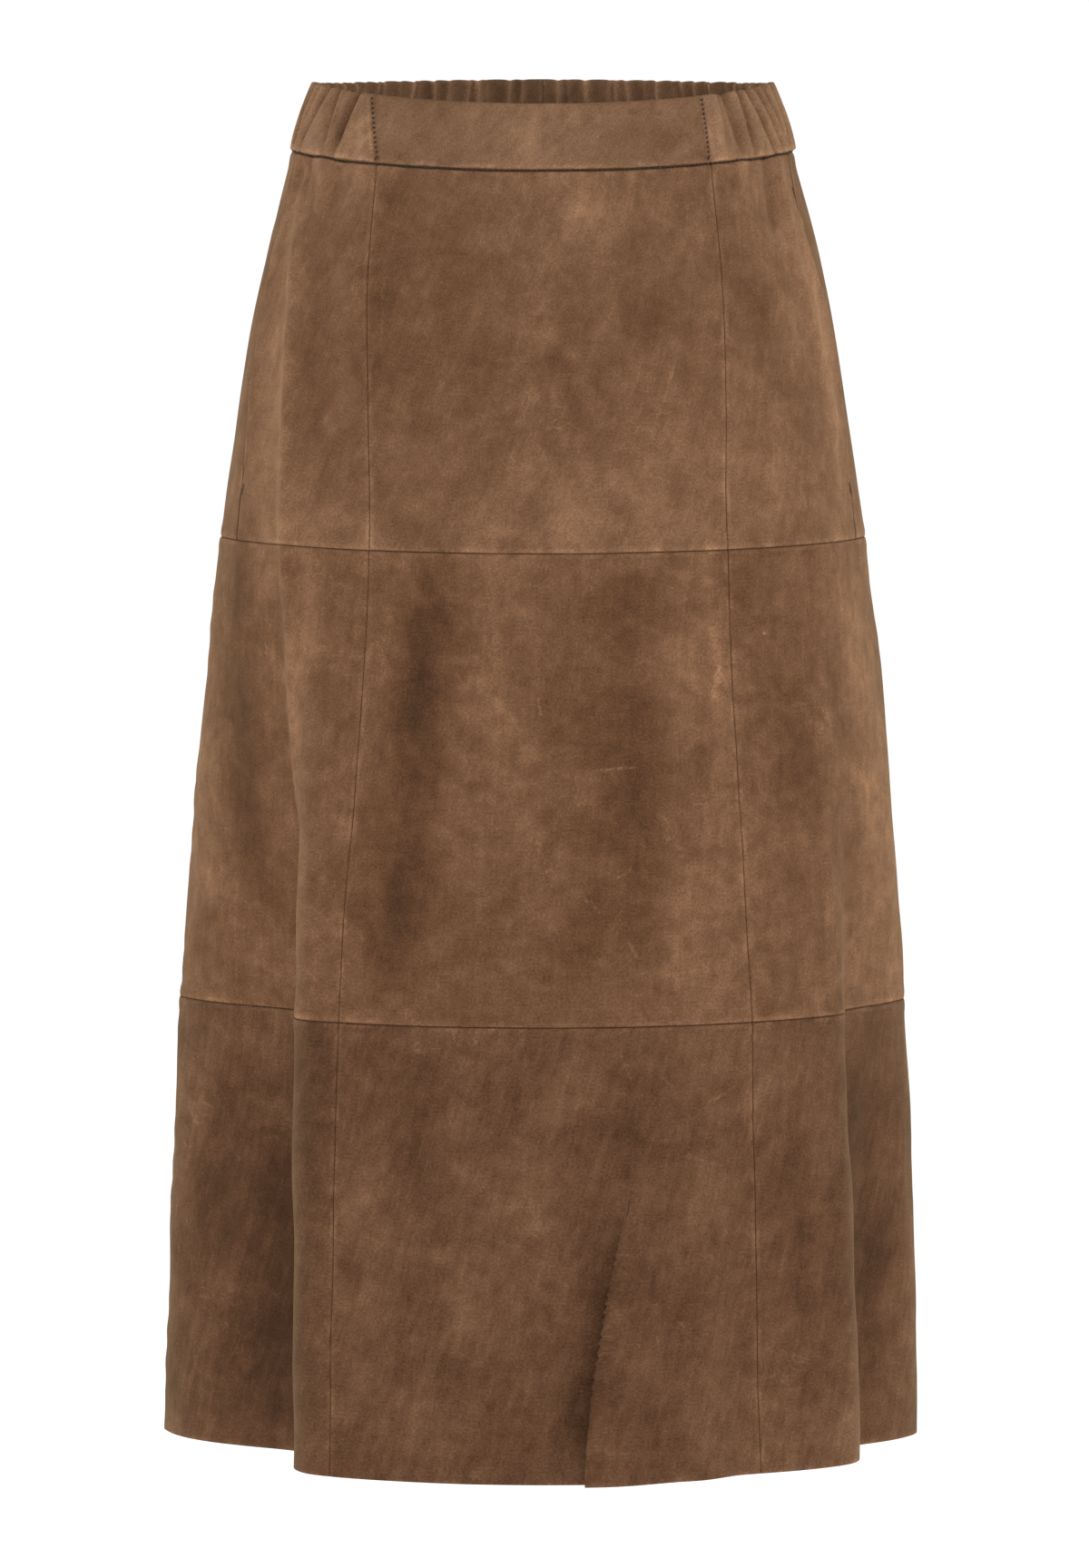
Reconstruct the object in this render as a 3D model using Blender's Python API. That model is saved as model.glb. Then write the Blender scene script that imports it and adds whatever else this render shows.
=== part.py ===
"""A-line suede skirt in its worn form: hollow, with the waist and the hem open.

Three tiers of suede panels hang from a waistband that is flat in front and
elasticated round the sides and back. The front (-Y) faces the viewer, and left and
right are the viewer's. The origin is the middle of the waist opening, level with the
band's top edge at the side seams.
"""

import math
from dataclasses import dataclass

import bmesh
import bpy
from mathutils import Vector

NAME = "a_line_skirt"

# Heights, as distances down the side from the waistband's top edge (metres).
BAND_BOTTOM = 0.039
UPPER_BOTTOM = 0.258
MIDDLE_BOTTOM = 0.519
HEM = 0.765

# The plain section at each height: half width, depth in front, depth behind.
SECTIONS = (
    (0.000, 0.1290, 0.094, 0.094),
    (BAND_BOTTOM, 0.1415, 0.102, 0.103),
    (0.130, 0.1635, 0.129, 0.127),
    (UPPER_BOTTOM, 0.1820, 0.150, 0.147),
    (0.400, 0.1975, 0.168, 0.163),
    (MIDDLE_BOTTOM, 0.2065, 0.182, 0.174),
    (0.640, 0.2115, 0.195, 0.183),
    (HEM, 0.2145, 0.207, 0.190),
)

# The waist dips in front and rises behind, and the hem is level.
FRONT_DIP = 0.0263
BACK_RISE = 0.0159
DIP_POWER = 1.2

# Seams, in degrees round from the centre front, at each height. The upper tier's side
# seams come forward to the pockets, and the tiers below have theirs at the very side.
PRINCESS_LEFT = (
    (BAND_BOTTOM, -40.0),
    (UPPER_BOTTOM, -31.0),
    (MIDDLE_BOTTOM, -31.6),
    (HEM, -31.2),
)
PRINCESS_RIGHT = (
    (BAND_BOTTOM, 40.6),
    (UPPER_BOTTOM, 33.3),
    (MIDDLE_BOTTOM, 32.6),
    (HEM, 34.0),
)
POCKET_SEAM_LEFT = ((BAND_BOTTOM, -76.5), (0.130, -72.0), (UPPER_BOTTOM, -69.5))
POCKET_SEAM_RIGHT = (
    (BAND_BOTTOM, 75.5),
    (0.085, 71.5),
    (0.160, 76.0),
    (UPPER_BOTTOM, 74.5),
)
BAND_SEAM_LEFT = ((0.0, -47.2), (BAND_BOTTOM, -40.2))
BAND_SEAM_RIGHT = ((0.0, 42.8), (BAND_BOTTOM, 40.6))
SIDE = 92.0
CENTRE_BACK = 180.0

# Cloth.
SUEDE = 0.0014
BAND_WALL = 0.0030
BAND_PROUD = 0.0012
SEAM_GAP = 0.0003
GATHERS = 28
GATHER_HEIGHT = 0.0009
GATHER_START = 6.0

# Pockets in the side seams: the mouth's ends, the lip's lift and the bag's size.
POCKET_TOP = 0.066
POCKET_BOTTOM = 0.226
LIP_LIFT = 0.0030
LIP_REACH = 7.0
LIP_LEVEL = 0.6  # share of the mouth's height along which the lip stands out fully
BAG_BOTTOM = 0.300
BAG_RISE = 0.020
BAG_START = 1.5
BAG_REACH = 29.0
BAG_STRAIGHT = 0.5
BAG_ROUNDING = 0.45
BAG_WALL = 0.0016
BAG_CLEARANCE = 0.0030

# Grid cells down each tier, and across its centre front, side fronts and backs.
ROWS = {"upper": 7, "middle": 5, "lower": 6}
COLUMNS = {"upper": (12, 12, 16), "middle": (12, 20, 20), "lower": (24, 26, 26)}
BAND_ROWS = 2
BAND_COLUMNS_FRONT = 14
BAND_COLUMNS_BACK = 46
BAG_ROWS = 5
BAG_COLUMNS = 6

TIERS = {
    "upper": (BAND_BOTTOM, UPPER_BOTTOM),
    "middle": (UPPER_BOTTOM, MIDDLE_BOTTOM),
    "lower": (MIDDLE_BOTTOM, HEM),
}

# sRGB colours of the tiers: each hide takes the dye a little differently.
COLOURS = {
    "upper": (124, 90, 65),
    "middle": (116, 83, 60),
    "lower": (104, 74, 54),
    "band": (129, 97, 71),
    "pocket": (84, 64, 48),
}
SUEDE_ROUGHNESS = 0.92
SHARP_EDGE = 60.0

# Steps over which the face's slope is measured.
TURN_STEP = 0.05
DOWN_STEP = 0.0005


@dataclass(frozen=True)
class Fold:
    """An edge that stands out from the skirt, with the cloth beside it set back."""

    edge_top: float  # degrees round from the centre front, where the fold begins
    edge_hem: float  # the same at the hem
    side: int  # 1 if the set-back cloth lies to the right of the edge, -1 to the left
    begins: float  # distance down the side where it begins
    full: float  # distance down the side where it has its full depth
    set_back: float  # how far its valley lies inside the plain section
    flank: float  # degrees from the edge to the valley
    fade: float  # degrees in which the cloth comes back out
    lean: float  # how far the edge stands over the valley


FOLDS = (
    Fold(-37.0, -33.0, -1, 0.220, 0.640, 0.060, 16.0, 44.0, 0.016),
    Fold(48.0, 49.0, 1, 0.330, 0.765, 0.035, 12.0, 30.0, 0.014),
    Fold(12.5, 5.4, 1, 0.560, 0.765, -0.011, 2.5, 14.0, 0.004),
    Fold(20.0, 22.0, 1, 0.500, 0.765, 0.008, 9.0, 18.0, 0.0),
    Fold(118.0, 121.0, -1, 0.300, 0.765, 0.030, 12.0, 24.0, 0.004),
    Fold(148.0, 152.0, 1, 0.340, 0.765, 0.026, 12.0, 20.0, 0.004),
    Fold(-126.0, -129.0, 1, 0.300, 0.765, 0.030, 12.0, 22.0, 0.004),
    Fold(-156.0, -159.0, -1, 0.360, 0.765, 0.024, 12.0, 18.0, 0.004),
)


# A fold's edge and valley are carried past each other: where, how widely and how far,
# as shares of its flank and its lean.
EDGE_PLACE = 0.40
EDGE_SPREAD = 0.35
VALLEY_SPREAD = 0.50
VALLEY_LEAN = 0.75


def smooth_step(t):
    """Rise smoothly from 0 to 1 as t goes from 0 to 1."""
    t = min(max(t, 0.0), 1.0)
    return t * t * (3.0 - 2.0 * t)


def bell(t):
    """A smooth bump of height 1 at t = 0, near nothing at 2."""
    return math.exp(-t * t)


def along_stations(stations, down, column=1):
    """Read a value at a height from rows of (height, value, ...), on a smooth curve."""
    last = len(stations) - 1
    index = 0
    while index < last - 1 and down > stations[index + 1][0]:
        index += 1
    low, high = stations[index], stations[index + 1]
    before, after = stations[max(index - 1, 0)], stations[min(index + 2, last)]
    span = high[0] - low[0]
    start_slope = (high[column] - before[column]) / (high[0] - before[0])
    end_slope = (after[column] - low[column]) / (after[0] - low[0])
    t = min(max((down - low[0]) / span, 0.0), 1.0)
    return (
        (2 * t**3 - 3 * t**2 + 1) * low[column]
        + (t**3 - 2 * t**2 + t) * span * start_slope
        + (-2 * t**3 + 3 * t**2) * high[column]
        + (t**3 - t**2) * span * end_slope
    )


def fold_offsets(angle, down):
    """How far the folds set a point in and carry it round, in metres."""
    inward, round_ = 0.0, 0.0
    for fold in FOLDS:
        growth = smooth_step((down - fold.begins) / (fold.full - fold.begins))
        if growth == 0.0:
            continue
        run = smooth_step((down - fold.begins) / (HEM - fold.begins))
        edge = fold.edge_top + (fold.edge_hem - fold.edge_top) * run
        turn = (angle - edge + 180.0) % 360.0 - 180.0
        beyond = fold.side * turn
        flank = smooth_step(beyond / fold.flank)
        fade = 1.0 - smooth_step((beyond - fold.flank) / fold.fade)
        inward += growth * fold.set_back * flank * fade
        over = bell((beyond / fold.flank - EDGE_PLACE) / EDGE_SPREAD)
        under = VALLEY_LEAN * bell((beyond / fold.flank - 1.0) / VALLEY_SPREAD)
        round_ += growth * fold.side * fold.lean * (over - under)
    return inward, round_


def skirt_point(angle, down):
    """A point of the skirt's outer face."""
    half_width = along_stations(SECTIONS, down, 1)
    front = math.cos(math.radians(angle)) >= 0.0
    depth = along_stations(SECTIONS, down, 2 if front else 3)
    turn = math.radians(angle)
    x, y = half_width * math.sin(turn), -depth * math.cos(turn)
    normal_x, normal_y = x / half_width**2, y / depth**2
    length = math.hypot(normal_x, normal_y)
    normal_x, normal_y = normal_x / length, normal_y / length
    inward, round_ = fold_offsets(angle, down)
    x += -normal_x * inward - normal_y * round_
    y += -normal_y * inward + normal_x * round_
    tilt = abs(math.cos(turn)) ** DIP_POWER * (1.0 - down / HEM)
    z = -down - FRONT_DIP * tilt if front else -down + BACK_RISE * tilt
    return Vector((x, y, z))


def under_face(angle, down, depth):
    """A point this far under the skirt's outer face, straight in through the cloth."""
    round_it = skirt_point(angle + TURN_STEP, down) - skirt_point(angle - TURN_STEP, down)
    down_it = skirt_point(angle, down + DOWN_STEP) - skirt_point(angle, down - DOWN_STEP)
    return skirt_point(angle, down) - down_it.cross(round_it).normalized() * depth


def degrees_for(distance, angle, down):
    """The turn round the skirt that covers this distance on its face."""
    covered = skirt_point(angle + TURN_STEP, down) - skirt_point(angle, down)
    return TURN_STEP * distance / covered.length


def pocket_lip(angle, down, edge):
    """How far a side front stands out beside its pocket's mouth."""
    middle = (POCKET_TOP + POCKET_BOTTOM) / 2.0
    half = (POCKET_BOTTOM - POCKET_TOP) / 2.0
    beyond = (abs(down - middle) / half - LIP_LEVEL) / (1.0 - LIP_LEVEL)
    along = 1.0 - smooth_step(beyond)
    seam = along_stations(POCKET_SEAM_LEFT if angle < 0.0 else POCKET_SEAM_RIGHT, down)
    return LIP_LIFT * along * bell((angle - seam) / LIP_REACH)


def suede_material(name, colour, roughness=SUEDE_ROUGHNESS):
    """A plain suede of one colour."""
    material = bpy.data.materials.new(name)
    material.use_nodes = True
    shader = material.node_tree.nodes["Principled BSDF"]
    linear = [(channel / 255.0) ** 2.2 for channel in colour]
    shader.inputs["Base Color"].default_value = (*linear, 1.0)
    shader.inputs["Roughness"].default_value = roughness
    shader.inputs["Metallic"].default_value = 0.0
    return material


def bent_slab(name, columns, rows, place, wall, material, home, holder):
    """A flat slab, one unit thick, bent onto a surface by place(across, down, depth)."""
    bpy.ops.mesh.primitive_grid_add(x_subdivisions=columns, y_subdivisions=rows, size=1.0)
    cloth = bpy.context.object
    cloth.name = cloth.data.name = name
    slab = bmesh.new()
    slab.from_mesh(cloth.data)
    made = bmesh.ops.extrude_face_region(slab, geom=slab.faces[:], use_keep_orig=True)
    under = [item for item in made["geom"] if isinstance(item, bmesh.types.BMVert)]
    bmesh.ops.translate(slab, verts=under, vec=(0.0, 0.0, -1.0))
    bmesh.ops.recalc_face_normals(slab, faces=slab.faces[:])
    for vertex in slab.verts:
        flat = vertex.co.copy()
        vertex.co = place(flat.x + 0.5, 0.5 - flat.y, -flat.z * wall)
    slab.to_mesh(cloth.data)
    slab.free()
    cloth.data.materials.append(material)
    cloth.data.shade_smooth()
    cloth.data.set_sharp_from_angle(angle=math.radians(SHARP_EDGE))
    cloth.parent = holder
    for other in cloth.users_collection:
        other.objects.unlink(cloth)
    home.objects.link(cloth)


def between(first, second, share):
    """Part of the way from one number to another."""
    return first + (second - first) * share


def panel_placer(left_seam, right_seam, top, bottom, rise):
    """Place a slab between two seams and two heights, half a seam gap inside each.

    rise(angle, down, edge) says how far its face stands out from the skirt's, where
    edge is the turn to the nearer of its two seams.
    """
    inset = SEAM_GAP / 2.0

    def place(across, down_share, depth):
        down = between(top + inset, bottom - inset, down_share)
        left, right = left_seam(down), right_seam(down)
        left += degrees_for(inset, left, down)
        right -= degrees_for(inset, right, down)
        angle = between(left, right, across)
        edge = min(angle - left, right - angle)
        return under_face(angle, down, depth - rise(angle, down, edge))

    return place


def level(angle, down, edge):
    """A panel that lies on the skirt's face."""
    return 0.0


def flat_band(angle, down, edge):
    """A waistband that stands a little proud of the skirt."""
    return BAND_PROUD


def gathered_band(angle, down, edge):
    """A waistband that elastic draws into upright gathers."""
    gather = math.cos(math.radians(angle) * GATHERS) * smooth_step(edge / GATHER_START)
    return BAND_PROUD + GATHER_HEIGHT * gather


def seam_line(stations):
    """A seam as a function of height."""
    return lambda down: along_stations(stations, down)


def upright(angle):
    """A seam that keeps one angle at every height."""
    return lambda down: angle


def add_tier(tier, home, holder):
    """The five panels of one tier: centre front, two side fronts, two backs."""
    top, bottom = TIERS[tier]
    rows = ROWS[tier]
    centre, side, back = COLUMNS[tier]
    if tier == "lower":
        bottom += SEAM_GAP / 2.0
    princess_left, princess_right = seam_line(PRINCESS_LEFT), seam_line(PRINCESS_RIGHT)
    side_left, side_right, lip = upright(-SIDE), upright(SIDE), level
    if tier == "upper":
        side_left, side_right = seam_line(POCKET_SEAM_LEFT), seam_line(POCKET_SEAM_RIGHT)
        lip = pocket_lip
    panels = (
        (f"front_centre_{tier}", princess_left, princess_right, centre, level),
        (f"front_side_left_{tier}", side_left, princess_left, side, lip),
        (f"front_side_right_{tier}", princess_right, side_right, side, lip),
        (f"back_left_{tier}", upright(-CENTRE_BACK), side_left, back, level),
        (f"back_right_{tier}", side_right, upright(CENTRE_BACK), back, level),
    )
    for name, left, right, across, rise in panels:
        place = panel_placer(left, right, top, bottom, rise)
        material = suede_material(f"{name}_suede", COLOURS[tier])
        bent_slab(name, across, rows, place, SUEDE, material, home, holder)


def add_waistband(home, holder):
    """The flat front piece, and two gathered pieces that meet at the centre back."""
    left_seam, right_seam = seam_line(BAND_SEAM_LEFT), seam_line(BAND_SEAM_RIGHT)
    left_end, right_end = upright(-CENTRE_BACK), upright(CENTRE_BACK)
    pieces = (
        ("waistband_front", left_seam, right_seam, BAND_COLUMNS_FRONT, flat_band),
        ("waistband_back_left", left_end, left_seam, BAND_COLUMNS_BACK, gathered_band),
        ("waistband_back_right", right_seam, right_end, BAND_COLUMNS_BACK, gathered_band),
    )
    for name, left, right, columns, rise in pieces:
        place = panel_placer(left, right, 0.0, BAND_BOTTOM, rise)
        material = suede_material(f"{name}_suede", COLOURS["band"])
        bent_slab(name, columns, BAND_ROWS, place, BAND_WALL, material, home, holder)


def bag_placer(seam, first, last):
    """Place a pocket bag against the inside of a side front, rounded at its foot."""

    def place(across, down_share, depth):
        down = between(POCKET_TOP - BAG_RISE, BAG_BOTTOM, down_share)
        foot = max(down_share - BAG_STRAIGHT, 0.0) / (1.0 - BAG_STRAIGHT)
        narrowing = 1.0 - BAG_ROUNDING * foot * foot
        angle = seam(down) + between(first, last, across) * narrowing
        return under_face(angle, down, SUEDE + BAG_CLEARANCE + depth)

    return place


def add_pocket_bags(home, holder):
    """A flat bag behind each side front, sewn in along the pocket's mouth."""
    for name, stations, first, last in (
        ("pocket_bag_left", POCKET_SEAM_LEFT, BAG_START, BAG_REACH),
        ("pocket_bag_right", POCKET_SEAM_RIGHT, -BAG_REACH, -BAG_START),
    ):
        place = bag_placer(seam_line(stations), first, last)
        material = suede_material(f"{name}_lining", COLOURS["pocket"])
        bent_slab(name, BAG_COLUMNS, BAG_ROWS, place, BAG_WALL, material, home, holder)


def clear_scene():
    """Remove everything that the scene starts with."""
    for obj in list(bpy.data.objects):
        bpy.data.objects.remove(obj, do_unlink=True)


def main():
    """Build the skirt in a collection of its own, held by one empty at the waist."""
    clear_scene()
    home = bpy.data.collections.new(NAME)
    bpy.context.scene.collection.children.link(home)
    holder = bpy.data.objects.new("waist", None)
    home.objects.link(holder)
    add_waistband(home, holder)
    for tier in TIERS:
        add_tier(tier, home, holder)
    add_pocket_bags(home, holder)


if __name__ == "__main__":
    main()
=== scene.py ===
"""A brown suede a-line skirt: cloth, seams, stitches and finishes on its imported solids.

Left and right are the viewer's in the front view, which looks along +Y. An angle is in
degrees round from the centre front, and `down` is the distance down the side seam from
the waistband's top edge. Everything is in metres.
"""

import logging
import math
from collections.abc import Callable, Sequence
from dataclasses import dataclass, replace
from enum import Enum

import bmesh
import bpy
import numpy as np
from mathutils import Matrix, Vector


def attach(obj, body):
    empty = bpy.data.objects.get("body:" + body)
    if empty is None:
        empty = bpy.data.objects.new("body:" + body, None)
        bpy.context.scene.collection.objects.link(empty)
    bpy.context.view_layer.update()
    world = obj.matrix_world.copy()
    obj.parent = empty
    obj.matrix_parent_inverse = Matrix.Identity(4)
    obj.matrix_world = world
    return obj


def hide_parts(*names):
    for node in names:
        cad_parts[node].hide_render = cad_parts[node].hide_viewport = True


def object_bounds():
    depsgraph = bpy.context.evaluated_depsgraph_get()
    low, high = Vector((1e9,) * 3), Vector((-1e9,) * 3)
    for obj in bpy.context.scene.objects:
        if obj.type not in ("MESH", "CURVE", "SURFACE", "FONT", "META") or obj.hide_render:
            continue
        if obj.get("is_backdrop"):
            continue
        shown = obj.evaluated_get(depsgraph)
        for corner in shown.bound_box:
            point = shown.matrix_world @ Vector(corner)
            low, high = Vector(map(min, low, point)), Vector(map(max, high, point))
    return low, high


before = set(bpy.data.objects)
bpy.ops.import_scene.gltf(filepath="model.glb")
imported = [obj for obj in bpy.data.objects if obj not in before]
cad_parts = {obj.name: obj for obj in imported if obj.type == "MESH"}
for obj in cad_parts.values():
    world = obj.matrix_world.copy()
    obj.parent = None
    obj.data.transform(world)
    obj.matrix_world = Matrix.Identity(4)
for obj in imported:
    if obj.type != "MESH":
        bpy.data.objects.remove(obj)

LOG = logging.getLogger("a_line_skirt")

Array = np.ndarray
Pair = tuple[float, float]
Piece = bpy.types.Object
Socket = bpy.types.NodeSocket
Tree = bpy.types.NodeTree
Node = bpy.types.Node
Stations = Sequence[tuple[float, ...]]
Line = Callable[[Array], Array]

# Heights of the seams, as distances down the side from the band's top edge.
BAND_BOTTOM = 0.039
UPPER_BOTTOM = 0.258
MIDDLE_BOTTOM = 0.519
HEM = -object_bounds()[0][2]

CENTRE_BACK = 180.0
TURN_STEP = 0.05
DOWN_STEP = 0.0005
PATTERN_PER_DEGREE = 0.0031  # metres of the cloth's pattern to a degree of turn
SHARP_EDGE = 70.0
FULL_SHADE_HEIGHT = 0.004  # the height of a crease whose crest gets the full painted highlight, and whose trough the full painted shade


def smooth_step(share: Array) -> Array:
    """Rise smoothly from 0 to 1 as share goes from 0 to 1."""
    share = np.clip(share, 0.0, 1.0)
    return share * share * (3.0 - 2.0 * share)


def bell(reach: Array) -> Array:
    """A smooth bump of height 1 at 0, near nothing at 2."""
    return np.exp(-reach * reach)


def read_stations(rows: Stations, down: Array, column: int = 1) -> Array:
    """Read a value at each height from rows of (height, value, ...), on a smooth curve.

    Args:
        rows: the known rows, from the top down.
        down: the heights asked for.
        column: which value of the rows is read.

    Returns:
        One value for each height.
    """
    table = np.array(rows, float)
    heights, values = table[:, 0], table[:, column]
    slopes = np.empty_like(values)
    slopes[1:-1] = (values[2:] - values[:-2]) / (heights[2:] - heights[:-2])
    slopes[0] = (values[1] - values[0]) / (heights[1] - heights[0])
    slopes[-1] = (values[-1] - values[-2]) / (heights[-1] - heights[-2])
    low = np.clip(np.searchsorted(heights, down) - 1, 0, len(heights) - 2)
    span = heights[low + 1] - heights[low]
    t = np.clip((down - heights[low]) / span, 0.0, 1.0)
    return (
        (2 * t**3 - 3 * t**2 + 1) * values[low]
        + (t**3 - 2 * t**2 + t) * span * slopes[low]
        + (-2 * t**3 + 3 * t**2) * values[low + 1]
        + (t**3 - t**2) * span * slopes[low + 1]
    )


def seam_line(stations: Stations) -> Line:
    """A seam as a function of height."""
    return lambda down: read_stations(stations, down)


def upright(angle: float) -> Line:
    """A line that keeps one angle at every height."""
    return lambda down: np.full_like(down, angle)


PRINCESS_LEFT = seam_line(
    ((BAND_BOTTOM, -40.0), (UPPER_BOTTOM, -31.0), (MIDDLE_BOTTOM, -31.6), (HEM, -31.2))
)
PRINCESS_RIGHT = seam_line(
    ((BAND_BOTTOM, 40.6), (UPPER_BOTTOM, 33.3), (MIDDLE_BOTTOM, 32.6), (HEM, 34.0))
)
POCKET_SEAM_LEFT = seam_line(((BAND_BOTTOM, -76.5), (0.13, -72.0), (UPPER_BOTTOM, -69.5)))
POCKET_SEAM_RIGHT = seam_line(
    ((BAND_BOTTOM, 75.5), (0.085, 71.5), (0.16, 76.0), (UPPER_BOTTOM, 74.5))
)
SIDE = 92.0
BAND_SEAM_LEFT = seam_line(((0.0, -47.2), (BAND_BOTTOM, -40.2)))
BAND_SEAM_RIGHT = seam_line(((0.0, 42.8), (BAND_BOTTOM, 40.6)))


@dataclass(frozen=True)
class Fold:
    """An edge that stands out from the skirt, with the cloth beside it set back."""

    edge_top: float  # degrees round from the centre front, where the fold begins
    edge_hem: float  # the same at the hem
    side: int  # 1 if the set-back cloth lies to the right of the edge, -1 to the left
    begins: float  # distance down the side where it begins
    full: float  # distance down the side where it has its full depth
    set_back: float  # how far its valley lies inside the plain section
    flank: float  # degrees from the edge to the valley
    fade: float  # degrees in which the cloth comes back out
    lean: float  # how far the edge stands over the valley


@dataclass(frozen=True)
class SkirtForm:
    """The skirt's worn shape: an oval that widens to the hem, with its hanging folds."""

    sections: Stations = (
        (0.000, 0.129, 0.094, 0.094),
        (BAND_BOTTOM, 0.1415, 0.102, 0.103),
        (0.13, 0.1635, 0.129, 0.127),
        (UPPER_BOTTOM, 0.182, 0.15, 0.147),
        (0.4, 0.1975, 0.168, 0.163),
        (MIDDLE_BOTTOM, 0.2065, 0.182, 0.174),
        (0.64, 0.2115, 0.195, 0.183),
        (HEM, 0.2145, 0.207, 0.19),
    )
    folds: tuple[Fold, ...] = (
        Fold(-37.0, -33.0, -1, 0.22, 0.64, 0.06, 16.0, 44.0, 0.016),
        Fold(48.0, 49.0, 1, 0.33, 0.765, 0.035, 12.0, 30.0, 0.014),
        Fold(12.5, 5.4, 1, 0.55, 0.73, -0.009, 1.4, 14.0, 0.006),
        Fold(20.0, 22.0, 1, 0.5, 0.765, 0.008, 9.0, 18.0, 0.0),
        Fold(118.0, 121.0, -1, 0.3, 0.765, 0.03, 12.0, 24.0, 0.004),
        Fold(148.0, 152.0, 1, 0.34, 0.765, 0.026, 12.0, 20.0, 0.004),
        Fold(-126.0, -129.0, 1, 0.3, 0.765, 0.03, 12.0, 22.0, 0.004),
        Fold(-156.0, -159.0, -1, 0.36, 0.765, 0.024, 12.0, 18.0, 0.004),
    )
    front_dip: float = 0.0263
    back_rise: float = 0.0159
    dip_power: float = 1.2
    edge_place: float = 0.4
    edge_spread: float = 0.35
    valley_spread: float = 0.5
    valley_lean: float = 0.75

    def fold_offsets(self, angle: Array, down: Array) -> tuple[Array, Array]:
        """How far the hanging folds move the cloth.

        Args:
            angle: turns from the centre front.
            down: distances down the side.

        Returns:
            How far each point goes inward, and how far it is carried round.
        """
        inward, round_ = np.zeros_like(angle), np.zeros_like(angle)
        for fold in self.folds:
            growth = smooth_step((down - fold.begins) / (fold.full - fold.begins))
            run = smooth_step((down - fold.begins) / (HEM - fold.begins))
            edge = fold.edge_top + (fold.edge_hem - fold.edge_top) * run
            beyond = fold.side * ((angle - edge + 180.0) % 360.0 - 180.0)
            flank = smooth_step(beyond / fold.flank)
            fade = 1.0 - smooth_step((beyond - fold.flank) / fold.fade)
            inward += growth * fold.set_back * flank * fade
            over = bell((beyond / fold.flank - self.edge_place) / self.edge_spread)
            under = self.valley_lean * bell((beyond / fold.flank - 1.0) / self.valley_spread)
            round_ += growth * fold.side * fold.lean * (over - under)
        return inward, round_

    def point(self, angle: Array, down: Array) -> Array:
        """Points of the skirt's outer face, one row for each angle and height."""
        half_width = read_stations(self.sections, down, 1)
        turn = np.radians(angle)
        front = np.cos(turn) >= 0.0
        front_depth = read_stations(self.sections, down, 2)
        back_depth = read_stations(self.sections, down, 3)
        depth = np.where(front, front_depth, back_depth)
        x, y = half_width * np.sin(turn), -depth * np.cos(turn)
        normal_x, normal_y = x / half_width**2, y / depth**2
        length = np.hypot(normal_x, normal_y)
        normal_x, normal_y = normal_x / length, normal_y / length
        inward, round_ = self.fold_offsets(angle, down)
        x = x - normal_x * inward - normal_y * round_
        y = y - normal_y * inward + normal_x * round_
        tilt = np.abs(np.cos(turn)) ** self.dip_power * (1.0 - down / HEM)
        z = -down + np.where(front, -self.front_dip, self.back_rise) * tilt
        return np.stack((x, y, z), axis=-1)

    def axes(self, angle: Array, down: Array) -> tuple[Array, Array, Array]:
        """The unit directions at points of the face.

        Returns:
            Round the skirt to the right, down the cloth, and straight out of it.
        """
        across = self.point(angle + TURN_STEP, down) - self.point(angle - TURN_STEP, down)
        below = self.point(angle, down + DOWN_STEP) - self.point(angle, down - DOWN_STEP)
        out = np.cross(below, across)
        unit = [way / np.linalg.norm(way, axis=-1, keepdims=True) for way in (across, below, out)]
        return unit[0], unit[1], unit[2]

    def per_degree(self, angle: Array, down: Array) -> Array:
        """How much cloth one degree of turn covers."""
        across = self.point(angle + TURN_STEP, down) - self.point(angle - TURN_STEP, down)
        return np.linalg.norm(across, axis=-1) / (2.0 * TURN_STEP)


FORM = SkirtForm()


def width_at(left: Line, right: Line, height: float) -> float:
    """How much cloth lies between two seams at a distance down the side."""
    down = np.array([height])
    start, end = left(down), right(down)
    return float((end - start)[0] * FORM.per_degree((start + end) / 2.0, down)[0])


class Profile(Enum):
    """How a crease rises across its width."""

    SOFT = "soft"
    CORNER = "corner"

    @property
    def wear(self) -> float:
        """How much painted highlight its crest gets, and painted shade its trough."""
        return 0.45 if self is Profile.SOFT else 0.3


SOFT, CORNER = Profile.SOFT, Profile.CORNER


@dataclass(frozen=True)
class Crease:
    """A ridge, or a trough if its height is negative, along a short run of cloth."""

    start: Pair
    end: Pair
    width: float
    height: float
    profile: Profile = SOFT
    start_fade: float = 0.25
    end_fade: float = 0.25

    def lift(self, angle: Array, down: Array, per_degree: Array) -> Array:
        """How far the crease moves the cloth out at each point."""
        run_x = (self.end[0] - self.start[0]) * per_degree
        run_y = self.end[1] - self.start[1]
        from_x = (angle - self.start[0]) * per_degree
        from_y = down - self.start[1]
        length_squared = run_x**2 + run_y**2
        along = (from_x * run_x + from_y * run_y) / length_squared
        nearest = np.clip(along, 0.0, 1.0)
        away = np.hypot(from_x - nearest * run_x, from_y - nearest * run_y) / self.width
        rise = bell(away) if self.profile is SOFT else 1.0 / np.cosh(2.0 * away)
        fade_in = smooth_step(nearest / self.start_fade) if self.start_fade else 1.0
        fade_out = smooth_step((1.0 - nearest) / self.end_fade) if self.end_fade else 1.0
        return self.height * rise * fade_in * fade_out


@dataclass(frozen=True)
class Patch:
    """A lighter or darker part of the cloth: mostly where the nap lies another way; a few are painted
    shade in a recess and painted light on a lit side.
    """

    angle: float
    down: float
    across: float
    along: float
    tone: float
    slant: float = 0.0

    def shade(self, angle: Array, down: Array, per_degree: Array) -> Array:
        """How much lighter each point is, or darker if negative."""
        from_x = (angle - self.angle) * per_degree - self.slant * (down - self.down)
        from_y = down - self.down
        return self.tone * np.exp(-((from_x / self.across) ** 2) - (from_y / self.along) ** 4)


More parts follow.
